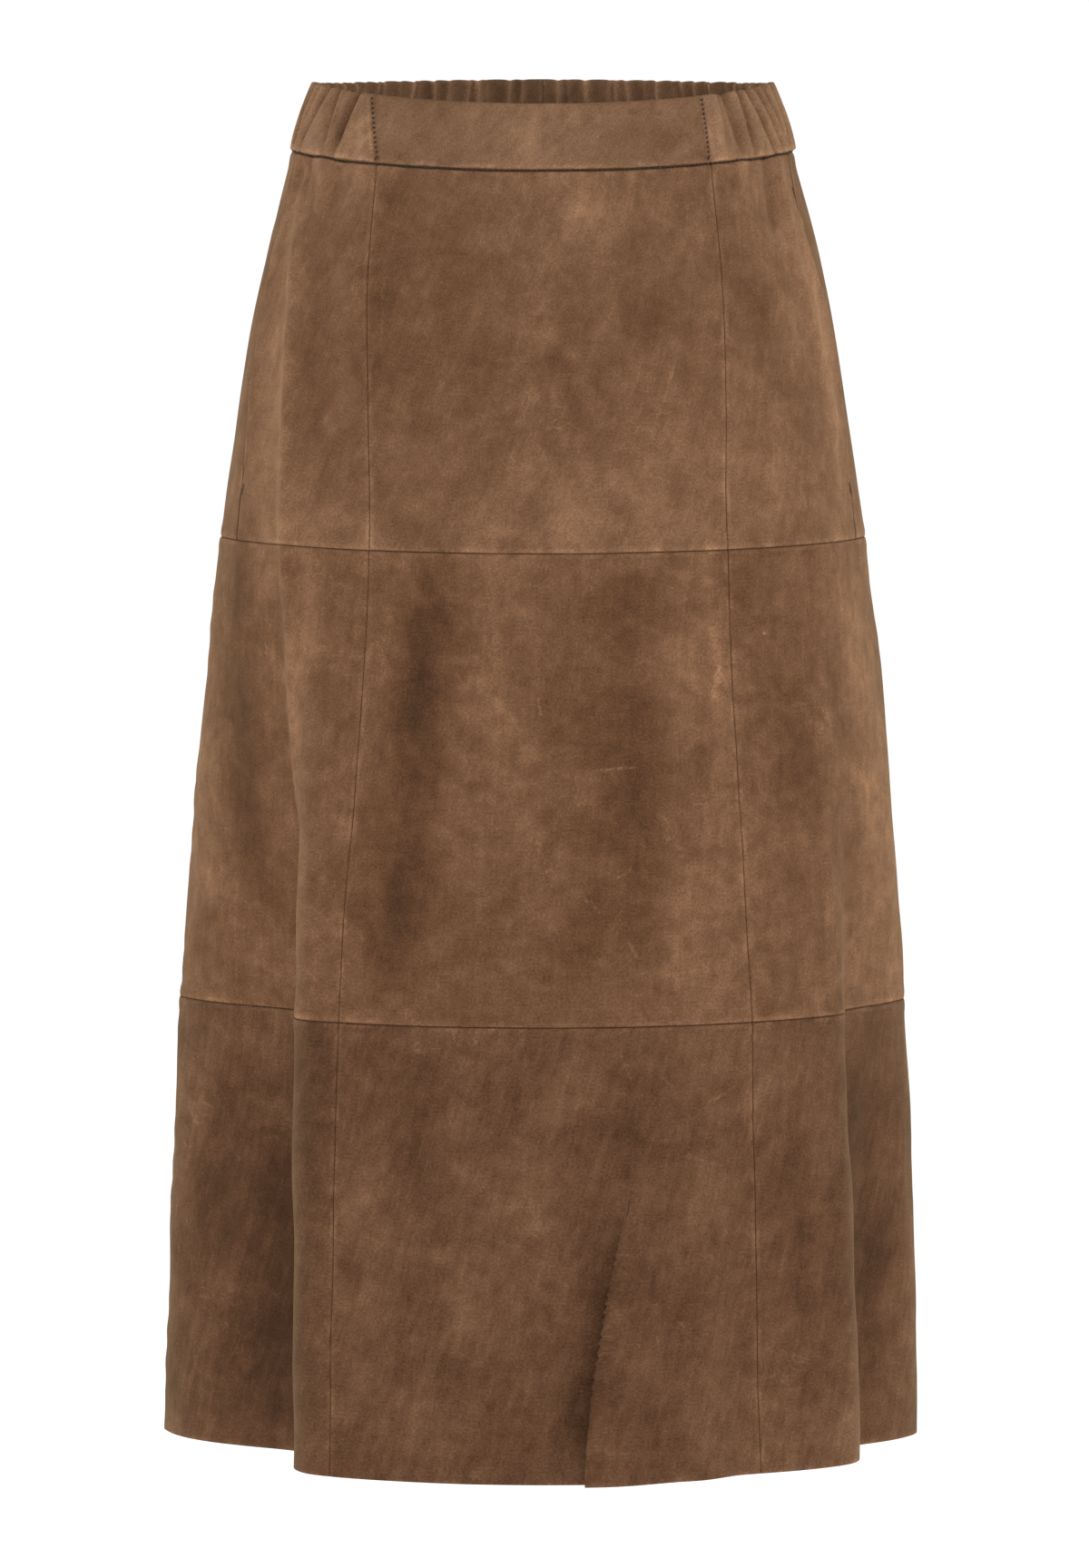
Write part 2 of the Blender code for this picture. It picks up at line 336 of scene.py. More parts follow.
# Creases by their start and end (angle, down), width, height, and how they fade at the ends.
CREASES: tuple[Crease, ...] = (
    # the soft corner down the left front, from the band to where the flute begins
    Crease((-67.5, 0.05), (-57.8, 0.125), 0.006, 0.0036, CORNER, 0.2, 0),
    Crease((-57.8, 0.125), (-51.2, 0.245), 0.0065, 0.004, CORNER, 0, 0),
    Crease((-51.2, 0.245), (-48.8, 0.31), 0.007, 0.004, CORNER, 0, 0),
    Crease((-48.8, 0.31), (-46, 0.43), 0.008, 0.0038, CORNER, 0, 0.3),
    Crease((-70.5, 0.042), (-60.5, 0.105), 0.0035, -0.0016, SOFT, 0.1, 0.4),
    # small gathers under the band's left end
    Crease((-66, 0.041), (-63, 0.078), 0.0028, -0.0022, SOFT, 0, 0.5),
    Crease((-73, 0.041), (-70, 0.095), 0.0026, 0.0024, SOFT, 0, 0.5),
    Crease((-58, 0.041), (-55, 0.085), 0.006, 0.0022, SOFT, 0, 0.5),
    Crease((-51.5, 0.041), (-50, 0.066), 0.005, -0.001, SOFT, 0, 0.5),
    # the puffed ridge that follows the right pocket's lip, and the gathers by it
    Crease((66, 0.043), (63.5, 0.105), 0.0055, 0.0022, CORNER, 0, 0),
    Crease((63.5, 0.105), (67, 0.15), 0.006, 0.0022, CORNER, 0, 0),
    Crease((67, 0.15), (71, 0.215), 0.007, 0.002, CORNER, 0, 0.5),
    Crease((61, 0.041), (56.5, 0.09), 0.0042, -0.0026, SOFT, 0, 0.4),
    Crease((50, 0.041), (49, 0.075), 0.005, 0.002, SOFT, 0, 0.5),
    Crease((55, 0.055), (54, 0.085), 0.004, -0.0014, SOFT, 0.4, 0.5),
    Crease((59, 0.1), (63, 0.17), 0.008, -0.0014, SOFT, 0.4, 0.5),
    # the corner down the right front that becomes the right flute
    Crease((56, 0.25), (50.5, 0.395), 0.009, 0.0014, SOFT, 0.5, 0.3),
    Crease((49.4, 0.398), (51, 0.47), 0.004, 0.0016, CORNER, 0.1, 0.4),
    Crease((48.6, 0.396), (49.6, 0.44), 0.003, -0.0012, SOFT, 0.1, 0.6),
    # faint drags in the centre front
    Crease((-4, 0.6), (-9, 0.74), 0.012, -0.0012),
    Crease((14, 0.61), (9, 0.735), 0.008, 0.0016),
    Crease((-19, 0.3), (-22, 0.5), 0.016, -0.0014),
    Crease((23, 0.13), (19, 0.23), 0.012, -0.0008),
    Crease((-17, 0.57), (-19, 0.7), 0.014, -0.0014),
    Crease((26, 0.56), (25, 0.74), 0.01, 0.0012),
    Crease((41, 0.56), (41.5, 0.75), 0.011, -0.0014),
    # the lower tier's side fronts
    Crease((-66, 0.56), (-74, 0.745), 0.012, 0.0018),
    Crease((68, 0.54), (72, 0.75), 0.012, -0.0018),
    Crease((80, 0.56), (83, 0.755), 0.009, 0.0016),
    # behind
    Crease((96, 0.06), (101, 0.18), 0.008, -0.0018),
    Crease((108, 0.045), (111, 0.13), 0.006, 0.0015, SOFT, 0, 0.5),
    Crease((122, 0.045), (119, 0.15), 0.0065, -0.0015, SOFT, 0, 0.5),
    Crease((137, 0.045), (140, 0.16), 0.007, 0.0016, SOFT, 0, 0.5),
    Crease((151, 0.045), (149, 0.12), 0.006, -0.0014, SOFT, 0, 0.5),
    Crease((165, 0.045), (166, 0.14), 0.007, 0.0015, SOFT, 0, 0.5),
    Crease((-95, 0.06), (-99, 0.17), 0.008, 0.0016),
    Crease((-106, 0.045), (-109, 0.13), 0.0065, -0.0016, SOFT, 0, 0.5),
    Crease((-120, 0.045), (-118, 0.15), 0.006, 0.0015, SOFT, 0, 0.5),
    Crease((-133, 0.045), (-137, 0.15), 0.007, -0.0015, SOFT, 0, 0.5),
    Crease((-148, 0.045), (-147, 0.13), 0.0065, 0.0015, SOFT, 0, 0.5),
    Crease((-163, 0.045), (-165, 0.14), 0.007, -0.0014, SOFT, 0, 0.5),
    Crease((105, 0.2), (112, 0.33), 0.012, 0.002),
    Crease((-104, 0.2), (-112, 0.33), 0.012, -0.0016),
    Crease((140, 0.3), (143, 0.5), 0.014, 0.0018),
    Crease((-141, 0.3), (-143, 0.5), 0.014, 0.0018),
    Crease((170, 0.48), (172, 0.74), 0.012, -0.0016),
    Crease((-172, 0.52), (-171, 0.74), 0.011, 0.0016),
)

# Where the nap lies lighter or darker, with some painted shade and light among them: angle, down, across,
# along, tone and slant.
PATCHES: tuple[Patch, ...] = tuple(
    Patch(*row)
    for row in (
        (-20.5, 0.305, 0.013, 0.05, -0.7, -0.1), (-21.5, 0.4, 0.015, 0.095, -0.55, -0.06),
        (-22.5, 0.48, 0.012, 0.06, -0.3, 0), (-35.5, 0.645, 0.015, 0.125, -0.48, 0),
        (-10, 0.735, 0.08, 0.045, -0.2, 0), (-7, 0.33, 0.02, 0.08, 0.3, 0.05),
        (14.5, 0.33, 0.016, 0.06, -0.5, 0.02), (14, 0.42, 0.018, 0.07, -0.4, -0.05),
        (29.5, 0.33, 0.007, 0.07, 0.4, 0), (40, 0.29, 0.024, 0.05, -0.45, 0),
        # (72, 0.39) is painted light on the right side of the middle tier
        (44, 0.4, 0.02, 0.07, -0.25, 0), (72, 0.39, 0.03, 0.12, 0.55, 0),
        (-42, 0.47, 0.018, 0.06, 0.4, 0), (-44, 0.32, 0.014, 0.08, 0.3, 0),
        (-67, 0.36, 0.024, 0.13, -0.8, 0), (-74, 0.48, 0.03, 0.06, 0.05, 0),
        (20, 0.07, 0.035, 0.03, 0.2, 0), (21, 0.13, 0.02, 0.04, -0.3, -0.3),
        (0, 0.23, 0.04, 0.03, 0.25, 0), (-19, 0.12, 0.025, 0.06, -0.2, 0),
        (-35, 0.13, 0.018, 0.07, -0.35, 0), (-44, 0.09, 0.015, 0.05, 0.15, 0),
        (-62, 0.15, 0.016, 0.105, 0.45, 0.12), (60, 0.2, 0.014, 0.05, -0.2, 0),
        (50, 0.16, 0.018, 0.06, -0.35, 0.2), (-18, 0.57, 0.03, 0.04, -0.3, 0),
        (-5, 0.64, 0.04, 0.05, 0.22, -0.3), (7, 0.69, 0.012, 0.05, -0.3, -0.25),
        # (-72, 0.64), (-60, 0.68) and (-51.5, 0.66) are painted shade in the recess beside the left flute
        (24, 0.66, 0.025, 0.08, 0.15, 0), (-72, 0.64, 0.03, 0.09, -0.6, 0),
        (-60, 0.68, 0.034, 0.085, -0.75, 0), (70, 0.61, 0.03, 0.08, -0.4, 0),
        (44, 0.56, 0.016, 0.04, 0.15, 0), (-51.5, 0.66, 0.018, 0.125, -0.85, 0),
        (64, 0.64, 0.012, 0.11, -0.45, 0), (-48, 0.16, 0.012, 0.09, -0.3, 0.15),
        (-84, 0.15, 0.014, 0.11, -0.5, 0), (69.5, 0.13, 0.008, 0.085, 0.55, 0),
        (84, 0.13, 0.014, 0.09, -0.5, 0), (115, 0.35, 0.03, 0.09, -0.4, 0.1),
        (150, 0.42, 0.035, 0.08, 0.35, 0), (-118, 0.38, 0.03, 0.09, 0.35, -0.1),
        (-152, 0.34, 0.03, 0.08, -0.45, 0), (135, 0.14, 0.03, 0.06, 0.3, 0),
        (-135, 0.16, 0.03, 0.06, -0.3, 0), (160, 0.64, 0.03, 0.07, -0.3, 0),
        (-135, 0.64, 0.03, 0.07, 0.3, 0),
    )
)


@dataclass(frozen=True)
class Waver:
    """A long, slight unevenness of the cloth, the same all over."""

    round_length: float
    down_length: float
    height: float
    phase: float

    def lift(self, round_: Array, down: Array) -> Array:
        """How far it moves the cloth out, by places round and down in metres."""
        way = round_ / self.round_length + down / self.down_length
        return self.height * np.sin(2.0 * math.pi * way + self.phase)


WAVERS: tuple[Waver, ...] = (
    Waver(0.11, 0.41, 0.00045, 0.3),
    Waver(0.067, -0.29, 0.00032, 1.9),
    Waver(0.39, 0.12, 0.00035, 4.1),
    Waver(-0.24, 0.083, 0.00022, 2.6),
    Waver(0.041, 0.17, 0.00014, 5.2),
    Waver(-0.052, 0.061, 0.00012, 0.9),
    Waver(0.029, -0.047, 0.00007, 3.3),
)
WAVER_START = 0.03
WAVER_FULL = 0.4
WAVER_AT_TOP = 0.45


def relief(angle: Array, down: Array) -> Array:
    """How far creases and unevenness move the cloth out of the plain form."""
    per_degree = FORM.per_degree(angle, down)
    lift, corner = np.zeros_like(angle), np.zeros_like(angle)
    for crease in CREASES:
        if crease.profile is CORNER:
            corner = np.maximum(corner, crease.lift(angle, down, per_degree))
        else:
            lift += crease.lift(angle, down, per_degree)
    lift += corner
    even = np.zeros_like(angle)
    round_ = angle * PATTERN_PER_DEGREE
    for waver in WAVERS:
        even += waver.lift(round_, down)
    share = WAVER_AT_TOP + (1.0 - WAVER_AT_TOP) * smooth_step(
        (down - WAVER_START) / (WAVER_FULL - WAVER_START)
    )
    return lift + even * share


def nap_tone_and_shading(angle: Array, down: Array) -> Array:
    """How much lighter or darker each point is: the nap's patches, some of them painted shade and light,
    and painted light on crests and painted shade in troughs.
    """
    per_degree = FORM.per_degree(angle, down)
    tone = np.zeros_like(angle)
    for patch in PATCHES:
        tone += patch.shade(angle, down, per_degree)
    # painted light along the creases' crests, and painted shade in their troughs
    for crease in CREASES:
        tone += crease.profile.wear * crease.lift(angle, down, per_degree) / FULL_SHADE_HEIGHT
    return tone


def select_nothing() -> None:
    """Deselect every object, so that an operator works on its own piece only."""
    if bpy.context.mode != "OBJECT":
        bpy.ops.object.mode_set(mode="OBJECT")
    bpy.ops.object.select_all(action="DESELECT")


def select_only(piece: Piece) -> None:
    """Select one piece and make it the active one."""
    select_nothing()
    bpy.context.view_layer.objects.active = piece
    piece.select_set(True)


def apply_modifier(piece: Piece, kind: str, **settings: object) -> None:
    """Put a modifier on a piece and apply it.

    Args:
        piece: the object.
        kind: Blender's name for the modifier's type.
        settings: the modifier's values by name.
    """
    select_only(piece)
    modifier = piece.modifiers.new(kind.lower(), kind)
    for name, value in settings.items():
        setattr(modifier, name, value)
    bpy.ops.object.modifier_apply(modifier=modifier.name)


def places_of(piece: Piece) -> Array:
    """The piece's points, one row each."""
    places = np.empty(len(piece.data.vertices) * 3, np.float32)
    piece.data.vertices.foreach_get("co", places)
    return places.reshape(-1, 3).astype(float)


def move_to(piece: Piece, places: Array) -> None:
    """Put the piece's points at these places."""
    piece.data.vertices.foreach_set("co", places.astype(np.float32).ravel())
    piece.data.update()


def write_attribute(piece: Piece, name: str, values: Array) -> None:
    """Store a number at each point, for the material to read."""
    attribute = piece.data.attributes.new(name, "FLOAT", "POINT")
    attribute.data.foreach_set("value", values.astype(np.float32))


def write_pattern_map(piece: Piece, angle: Array, down: Array) -> None:
    """Lay the piece's UV map in metres of cloth, round and down."""
    layer = piece.data.uv_layers[0]
    layer.name = "cloth"
    corners = np.empty(len(piece.data.loops), np.int32)
    piece.data.loops.foreach_get("vertex_index", corners)
    flat = np.stack((angle[corners] * PATTERN_PER_DEGREE, -down[corners]), axis=-1)
    layer.data.foreach_set("uv", flat.astype(np.float32).ravel())


def crowded_lines(length: float, cell: float, edge_cells: Sequence[float]) -> Array:
    """Places of grid lines across a length, close together at both ends.

    Args:
        length: the whole length, in metres.
        cell: the size of a plain cell.
        edge_cells: the sizes of the cells at each end, from the end inwards.

    Returns:
        The places as shares of the length, from 0 to 1.
    """
    edge = np.concatenate(((0.0,), np.cumsum(edge_cells)))
    middle = max(2, round((length - 2.0 * edge[-1]) / cell))
    inner = np.linspace(edge[-1], length - edge[-1], middle + 1)[1:-1]
    return np.concatenate((edge, inner, length - edge[::-1])) / length


def flat_grid(name: str, columns: int, rows: int) -> Piece:
    """A flat grid, one unit each way, at the origin."""
    select_nothing()
    bpy.ops.mesh.primitive_grid_add(x_subdivisions=columns, y_subdivisions=rows, size=1.0)
    piece = bpy.context.object
    piece.name = piece.data.name = name
    return piece


def grid_shares(places: Array, across: Array, along: Array) -> tuple[Array, Array]:
    """Where each point of a flat grid belongs, by the wanted places of its lines.

    Args:
        places: the points of a grid from flat_grid.
        across: the wanted places of its upright lines, as shares.
        along: the wanted places of its level lines, as shares.

    Returns:
        The share across and the share down of each point.
    """
    column = np.rint((places[:, 0] + 0.5) * (len(across) - 1)).astype(int)
    row = np.rint((0.5 - places[:, 1]) * (len(along) - 1)).astype(int)
    return across[column], along[row]


def finish_cloth(piece: Piece, material: bpy.types.Material) -> None:
    """Give a piece its material and smooth shading."""
    piece.data.materials.clear()
    piece.data.materials.append(material)
    select_only(piece)
    bpy.ops.object.shade_smooth_by_angle(angle=math.radians(SHARP_EDGE))


def put_on_frame(piece: Piece, node: str) -> None:
    """Let a piece ride on the frame in place of its solid."""
    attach(piece, "root")
    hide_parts(node)
    LOG.info("%s: %d faces", piece.name, len(piece.data.polygons))


# ---------------------------------------------------------------- finishes


@dataclass(frozen=True)
class Suede:
    """One hide's colour and how its nap has been brushed."""

    slot: str
    colour: tuple[float, float, float]
    mottle: float = 1.0
    streak: float = 0.6
    brush_turn: float = 0.0
    veins: float = 0.16
    seed: float = 0.0
    roughness: float = 0.95
    sheen: float = 0.22
    brushed: float = 0.62  # how strongly the brushed patches of the nap attribute show, with the painted light and shade that it also carries


@dataclass(frozen=True)
class Scuff:
    """A thin pale mark worn into the nap, by its ends as (angle, down)."""

    start: Pair
    end: Pair
    width: float
    level: float


def marks(*rows: tuple) -> tuple[Scuff, ...]:
    """Scuffs from rows of what they take."""
    return tuple(Scuff(*row) for row in rows)


# Marks by hide, each by its start, end, width and level.
SCUFFS: dict[str, tuple[Scuff, ...]] = {
    "suede_middle": marks(
        ((9.2, 0.3778), (14.6, 0.377), 0.001, 0.55), ((7, 0.379), (10.5, 0.3782), 0.0016, 0.2),
        ((-0.6, 0.418), (0.8, 0.433), 0.0012, 0.4), ((0.8, 0.433), (2.6, 0.43), 0.0014, 0.25),
        ((6, 0.447), (8.6, 0.456), 0.0013, 0.45), ((12.6, 0.472), (14.4, 0.48), 0.0013, 0.45),
        ((11.4, 0.438), (13.6, 0.432), 0.0012, 0.4), ((-0.8, 0.338), (-0.3, 0.348), 0.0011, 0.45),
        ((29.2, 0.301), (30.8, 0.333), 0.004, 0.3), ((30.2, 0.322), (28.6, 0.34), 0.0022, 0.3),
        ((24.6, 0.396), (26.2, 0.399), 0.0016, 0.35), ((10.5, 0.305), (12.2, 0.308), 0.0016, 0.3),
        ((39.6, 0.3046), (40.2, 0.3056), 0.0012, 0.6), ((62.2, 0.477), (62.8, 0.4782), 0.0012, 0.5),
        ((-46, 0.3), (-43.5, 0.315), 0.0014, 0.2),
    ),
    "suede_lower": marks(
        ((17, 0.545), (19.4, 0.552), 0.0016, 0.4), ((25, 0.562), (27.8, 0.558), 0.0016, 0.45),
        ((11.6, 0.535), (13.2, 0.546), 0.002, 0.25), ((-4, 0.635), (1, 0.625), 0.009, 0.22),
        ((21.5, 0.59), (26.8, 0.596), 0.0013, 0.2), ((-58, 0.56), (-54, 0.564), 0.0012, 0.2),
    ),
    "suede_upper": marks(
        ((-33, 0.105), (-31.8, 0.14), 0.0014, 0.25), ((18, 0.21), (25.5, 0.15), 0.0016, 0.18),
        ((-12, 0.18), (-7.5, 0.186), 0.0012, 0.16), ((52, 0.225), (54, 0.238), 0.0014, 0.2),
    ),
    "suede_band": marks(
        ((27, 0.01), (31, 0.012), 0.0012, 0.18), ((33, 0.024), (36, 0.0205), 0.0011, -0.3),
    ),
}


class SuedeColour(Enum):
    """The hides that the skirt is cut from, by their linear colours."""

    BAND = Suede("suede_band", (0.22, 0.118, 0.063), 0.8, 0.45, 0.9, 0.15, 1.7)
    UPPER = Suede("suede_upper", (0.221, 0.113, 0.059), 0.9, 0.55, 0.35, 0.25, 5.1)
    MIDDLE = Suede("suede_middle", (0.195, 0.096, 0.049), 1.0, 0.55, 0.08, 0.24, 9.4)
    LOWER = Suede("suede_lower", (0.149, 0.073, 0.038), 0.9, 0.95, 0.22, 0.3, 13.2)


@dataclass(frozen=True)
class Thread:
    """Sewing thread, twisted and a little shiny."""

    slot: str = "thread"
    colour: tuple[float, float, float] = (0.035, 0.018, 0.01)
    roughness: float = 0.6
    twist: float = 2600.0


@dataclass(frozen=True)
class Lining:
    """Plain woven pocket cloth."""

    slot: str = "pocket_lining"
    colour: tuple[float, float, float] = (0.085, 0.048, 0.028)
    threads_per_metre: float = 1500.0
    roughness: float = 0.85


class Wiring:
    """Adds and joins the nodes of one tree."""

    def __init__(self, tree: Tree) -> None:
        """Keep the tree."""
        self.tree = tree

    def node(self, kind: str, **settings: object) -> Node:
        """Add a node, with its own properties set by name."""
        node = self.tree.nodes.new(kind)
        for name, value in settings.items():
            setattr(node, name, value)
        return node

    def set(self, node: Node, **values: object) -> Node:
        """Set a node's inputs: socket names in lower case with _ for spaces."""
        for name, value in values.items():
            found = [s for s in node.inputs if s.name.lower().replace(" ", "_") == name and s.enabled]
            self.give(found[0], value)
        return node

    def give(self, socket: Socket, value: object) -> None:
        """Join a socket to an input, or set the input to a plain value."""
        if isinstance(value, Socket):
            self.tree.links.new(value, socket)
        else:
            socket.default_value = value

    def math(self, operation: str, *values: object) -> Socket:
        """A Math node of up to three inputs, each a socket or a number."""
        node = self.node("ShaderNodeMath", operation=operation)
        for socket, value in zip(node.inputs, (*values, 0.0, 0.0)):
            self.give(socket, value)
        return node.outputs[0]

    def swing(self, noise: Socket) -> Socket:
        """A noise's value less its middle, so that it swings about nothing."""
        return self.math("SUBTRACT", noise, 0.5)

    def vector(
        self, operation: str, first: object, second: object = (0, 0, 0), scale: object = 1.0
    ) -> Node:
        """A Vector Math node, each input a socket or a value."""
        node = self.node("ShaderNodeVectorMath", operation=operation)
        for index, value in ((0, first), (1, second), (3, scale)):
            self.give(node.inputs[index], value)
        return node

    def noise(
        self, place: Socket, scale: float, detail: float, rough: float, bent: float
    ) -> Socket:
        """A noise pattern's value at a place, with its shapes bent by so much."""
        node = self.node("ShaderNodeTexNoise")
        self.set(node, vector=place, scale=scale, detail=detail, roughness=rough, distortion=bent)
        return node.outputs["Fac"]

    def between(
        self, value: object, low: float, high: float, to_low: float, to_high: float
    ) -> Socket:
        """Map a value from one range to another, held at the ends."""
        node = self.node("ShaderNodeMapRange", interpolation_type="SMOOTHSTEP")
        self.set(node, value=value, from_min=low, from_max=high, to_min=to_low, to_max=to_high)
        return node.outputs["Result"]

    def bump(self, shader: Node, height: Socket, strength: float, distance: float) -> None:
        """Raise and sink the shader's surface by a height."""
        bump = self.node("ShaderNodeBump")
        self.set(bump, strength=strength, distance=distance, height=height)
        self.tree.links.new(bump.outputs["Normal"], shader.inputs["Normal"])

    def base_colour(self, shader: Node, colour: tuple[float, ...], bright: Socket) -> None:
        """Give the shader a colour times a brightness that changes over the cloth."""
        scaled = self.vector("SCALE", colour, scale=bright)
        self.tree.links.new(scaled.outputs[0], shader.inputs["Base Color"])


def new_group(
    name: str, inputs: dict[str, object], outputs: Sequence[str]
) -> tuple[Tree, Wiring, bpy.types.NodeOutputs, bpy.types.NodeInputs]:
    """A shader node group with named inputs and outputs.

    Args:
        name: the group's name.
        inputs: each input's default value by name; a tuple makes a vector.
        outputs: the names of its outputs, which are numbers.

    Returns:
        The group's tree, its wiring, what it is given and what it puts out.
    """
    tree = bpy.data.node_groups.new(name, "ShaderNodeTree")
    for label, value in inputs.items():
        kind = "NodeSocketVector" if isinstance(value, tuple) else "NodeSocketFloat"
        socket = tree.interface.new_socket(label, in_out="INPUT", socket_type=kind)
        socket.default_value = value
    for label in outputs:
        tree.interface.new_socket(label, in_out="OUTPUT", socket_type="NodeSocketFloat")
    wiring = Wiring(tree)
    given = wiring.node("NodeGroupInput").outputs
    return tree, wiring, given, wiring.node("NodeGroupOutput").inputs


@dataclass(frozen=True)
class NapLayer:
    """One size of unevenness in the nap: its noise, how much it shades and how much it rises."""

    scale: float
    detail: float
    rough: float
    bent: float
    level: float = 1.0
    rise: float = 0.0

    @property
    def pattern(self) -> tuple[float, ...]:
        """What the noise takes."""
        return self.scale, self.detail, self.rough, self.bent


ORIGIN = (0.0, 0.0, 0.0)
CLOUDS = NapLayer(8.0, 5.0, 0.62, 0.5, 1.25)
MOTTLES = NapLayer(27.0, 6.0, 0.66, 0.7, 1.25, 0.8)
SPOTS = NapLayer(105.0, 4.0, 0.62, 0.4, 0.95, 0.5)
STREAKS = NapLayer(46.0, 5.0, 0.64, 0.5)
HAIRS = NapLayer(300.0, 3.0, 0.6, 0.2, 0.8, 0.3)
GRAIN = NapLayer(850.0, 2.0, 0.7, 0.0, 1.5, 0.5)
WINDING = NapLayer(24.0, 3.0, 0.55, 1.4, rise=1.5)
WHERE_VEINED = NapLayer(13.0, 2.0, 0.5, 0.0)


def nap_group() -> Tree:
    """Brushed suede: clouds, finger-wide mottles, streaks, faint veins and the fine nap itself."""
    inputs = {"Place": ORIGIN, "Seed": 0.0, "Brush Turn": 0.0, "Mottle": 1.0, "Streak": 0.7, "Veins": 0.1}
    tree, wiring, given, out = new_group("brushed_nap", inputs, ("Tone", "Height"))
    offset = wiring.node("ShaderNodeCombineXYZ")
    wiring.set(offset, x=given["Seed"], y=given["Seed"], z=given["Seed"])
    place = wiring.vector("ADD", given["Place"], offset.outputs[0]).outputs[0]
    turned = wiring.node("ShaderNodeVectorRotate", rotation_type="Z_AXIS")
    wiring.set(turned, vector=place, angle=given["Brush Turn"])
    stretched = wiring.vector("MULTIPLY", turned.outputs[0], (1.0, 0.17, 1.0)).outputs[0]
    clouds, mottles, spots, grain = (
        wiring.noise(place, *layer.pattern) for layer in (CLOUDS, MOTTLES, SPOTS, GRAIN)
    )
    streaks, hairs = (wiring.noise(stretched, *layer.pattern) for layer in (STREAKS, HAIRS))
    mottled = wiring.math("MULTIPLY", wiring.swing(clouds), CLOUDS.level)
    for noise, layer in ((mottles, MOTTLES), (spots, SPOTS)):
        mottled = wiring.math("MULTIPLY_ADD", wiring.swing(noise), layer.level, mottled)
    mottled = wiring.math("MULTIPLY", mottled, given["Mottle"])
    brushed = wiring.math("MULTIPLY_ADD", wiring.swing(hairs), HAIRS.level, wiring.swing(streaks))
    tone = wiring.math("MULTIPLY_ADD", brushed, given["Streak"], mottled)
    tone = wiring.math("MULTIPLY_ADD", wiring.swing(grain), GRAIN.level, tone)
    # thin pale veins, only here and there
    edge = wiring.math("ABSOLUTE", wiring.swing(wiring.noise(place, *WINDING.pattern)))
    line = wiring.between(edge, 0.0, 0.01, 1.0, 0.0)
    where = wiring.between(wiring.noise(place, *WHERE_VEINED.pattern), 0.54, 0.66, 0.0, 1.0)
    light = wiring.math("MULTIPLY", wiring.math("MULTIPLY", line, where), given["Veins"])
    wiring.tree.links.new(wiring.math("ADD", tone, light), out["Tone"])
    height = wiring.math("MULTIPLY_ADD", grain, GRAIN.rise, wiring.math("MULTIPLY", hairs, HAIRS.rise))
    height = wiring.math("MULTIPLY_ADD", spots, SPOTS.rise, height)
    height = wiring.math("MULTIPLY_ADD", light, WINDING.rise, height)
    height = wiring.math("MULTIPLY_ADD", mottles, MOTTLES.rise, height)
    wiring.tree.links.new(height, out["Height"])
    return tree


def scuff_group() -> Tree:
    """One thin, pale, broken mark from a start to an end, in metres of cloth."""
    inputs = {"Place": ORIGIN, "Start": ORIGIN, "End": ORIGIN, "Width": 0.001, "Level": 0.3}
    tree, wiring, given, out = new_group("scuff_mark", inputs, ("Tone",))
    swerve = wiring.node("ShaderNodeTexNoise")
    wiring.set(swerve, vector=given["Place"], scale=140.0, detail=2.0)
    aside = wiring.vector("SUBTRACT", swerve.outputs["Color"], (0.5, 0.5, 0.5)).outputs[0]
    bent = wiring.vector("MULTIPLY_ADD", aside, (0.006, 0.006, 0.0)).outputs[0]
    place = wiring.vector("ADD", given["Place"], bent).outputs[0]
    from_start = wiring.vector("SUBTRACT", place, given["Start"]).outputs[0]
    run = wiring.vector("SUBTRACT", given["End"], given["Start"]).outputs[0]
    done = wiring.math(
        "DIVIDE",
        wiring.vector("DOT_PRODUCT", from_start, run).outputs["Value"],
        wiring.vector("DOT_PRODUCT", run, run).outputs["Value"],
    )
    held = wiring.between(done, 0.0, 1.0, 0.0, 1.0)
    held.node.interpolation_type = "LINEAR"
    nearest = wiring.vector("SCALE", run, scale=held).outputs[0]
    away = wiring.vector("DISTANCE", from_start, nearest).outputs["Value"]
    share = wiring.math("DIVIDE", away, given["Width"])
    line = wiring.between(share, 0.15, 1.0, 1.0, 0.0)
    broken = wiring.between(wiring.noise(given["Place"], 420.0, 2.0, 0.6, 0.0), 0.4, 0.55, 0.25, 1.0)
    mark = wiring.math("MULTIPLY", wiring.math("MULTIPLY", line, broken), given["Level"])
    wiring.tree.links.new(mark, out["Tone"])
    return tree


def seam_shading_group() -> Tree:
    """Painted shadow dark in a seam's groove, and a painted highlight lighter on the rolled edge beside
    it.
    """
    inputs = {"Distance": 0.01, "Place": ORIGIN}
    tree, wiring, given, out = new_group("seam_wear", inputs, ("Tone",))
    groove = wiring.between(given["Distance"], 0.0, 0.0007, -1.3, 0.0)
    rising = wiring.between(given["Distance"], 0.0004, 0.0012, 0.0, 1.0)
    falling = wiring.between(given["Distance"], 0.0014, 0.0042, 1.0, 0.0)
    patchy = wiring.between(wiring.noise(given["Place"], 70.0, 3.0, 0.6, 0.0), 0.4, 0.62, 0.05, 1.0)
    # painted highlight on the rolled edge, broken up by noise
    worn = wiring.math("MULTIPLY", wiring.math("MULTIPLY", rising, falling), patchy)
    wiring.tree.links.new(wiring.math("MULTIPLY_ADD", worn, 0.32, groove), out["Tone"])
    return tree


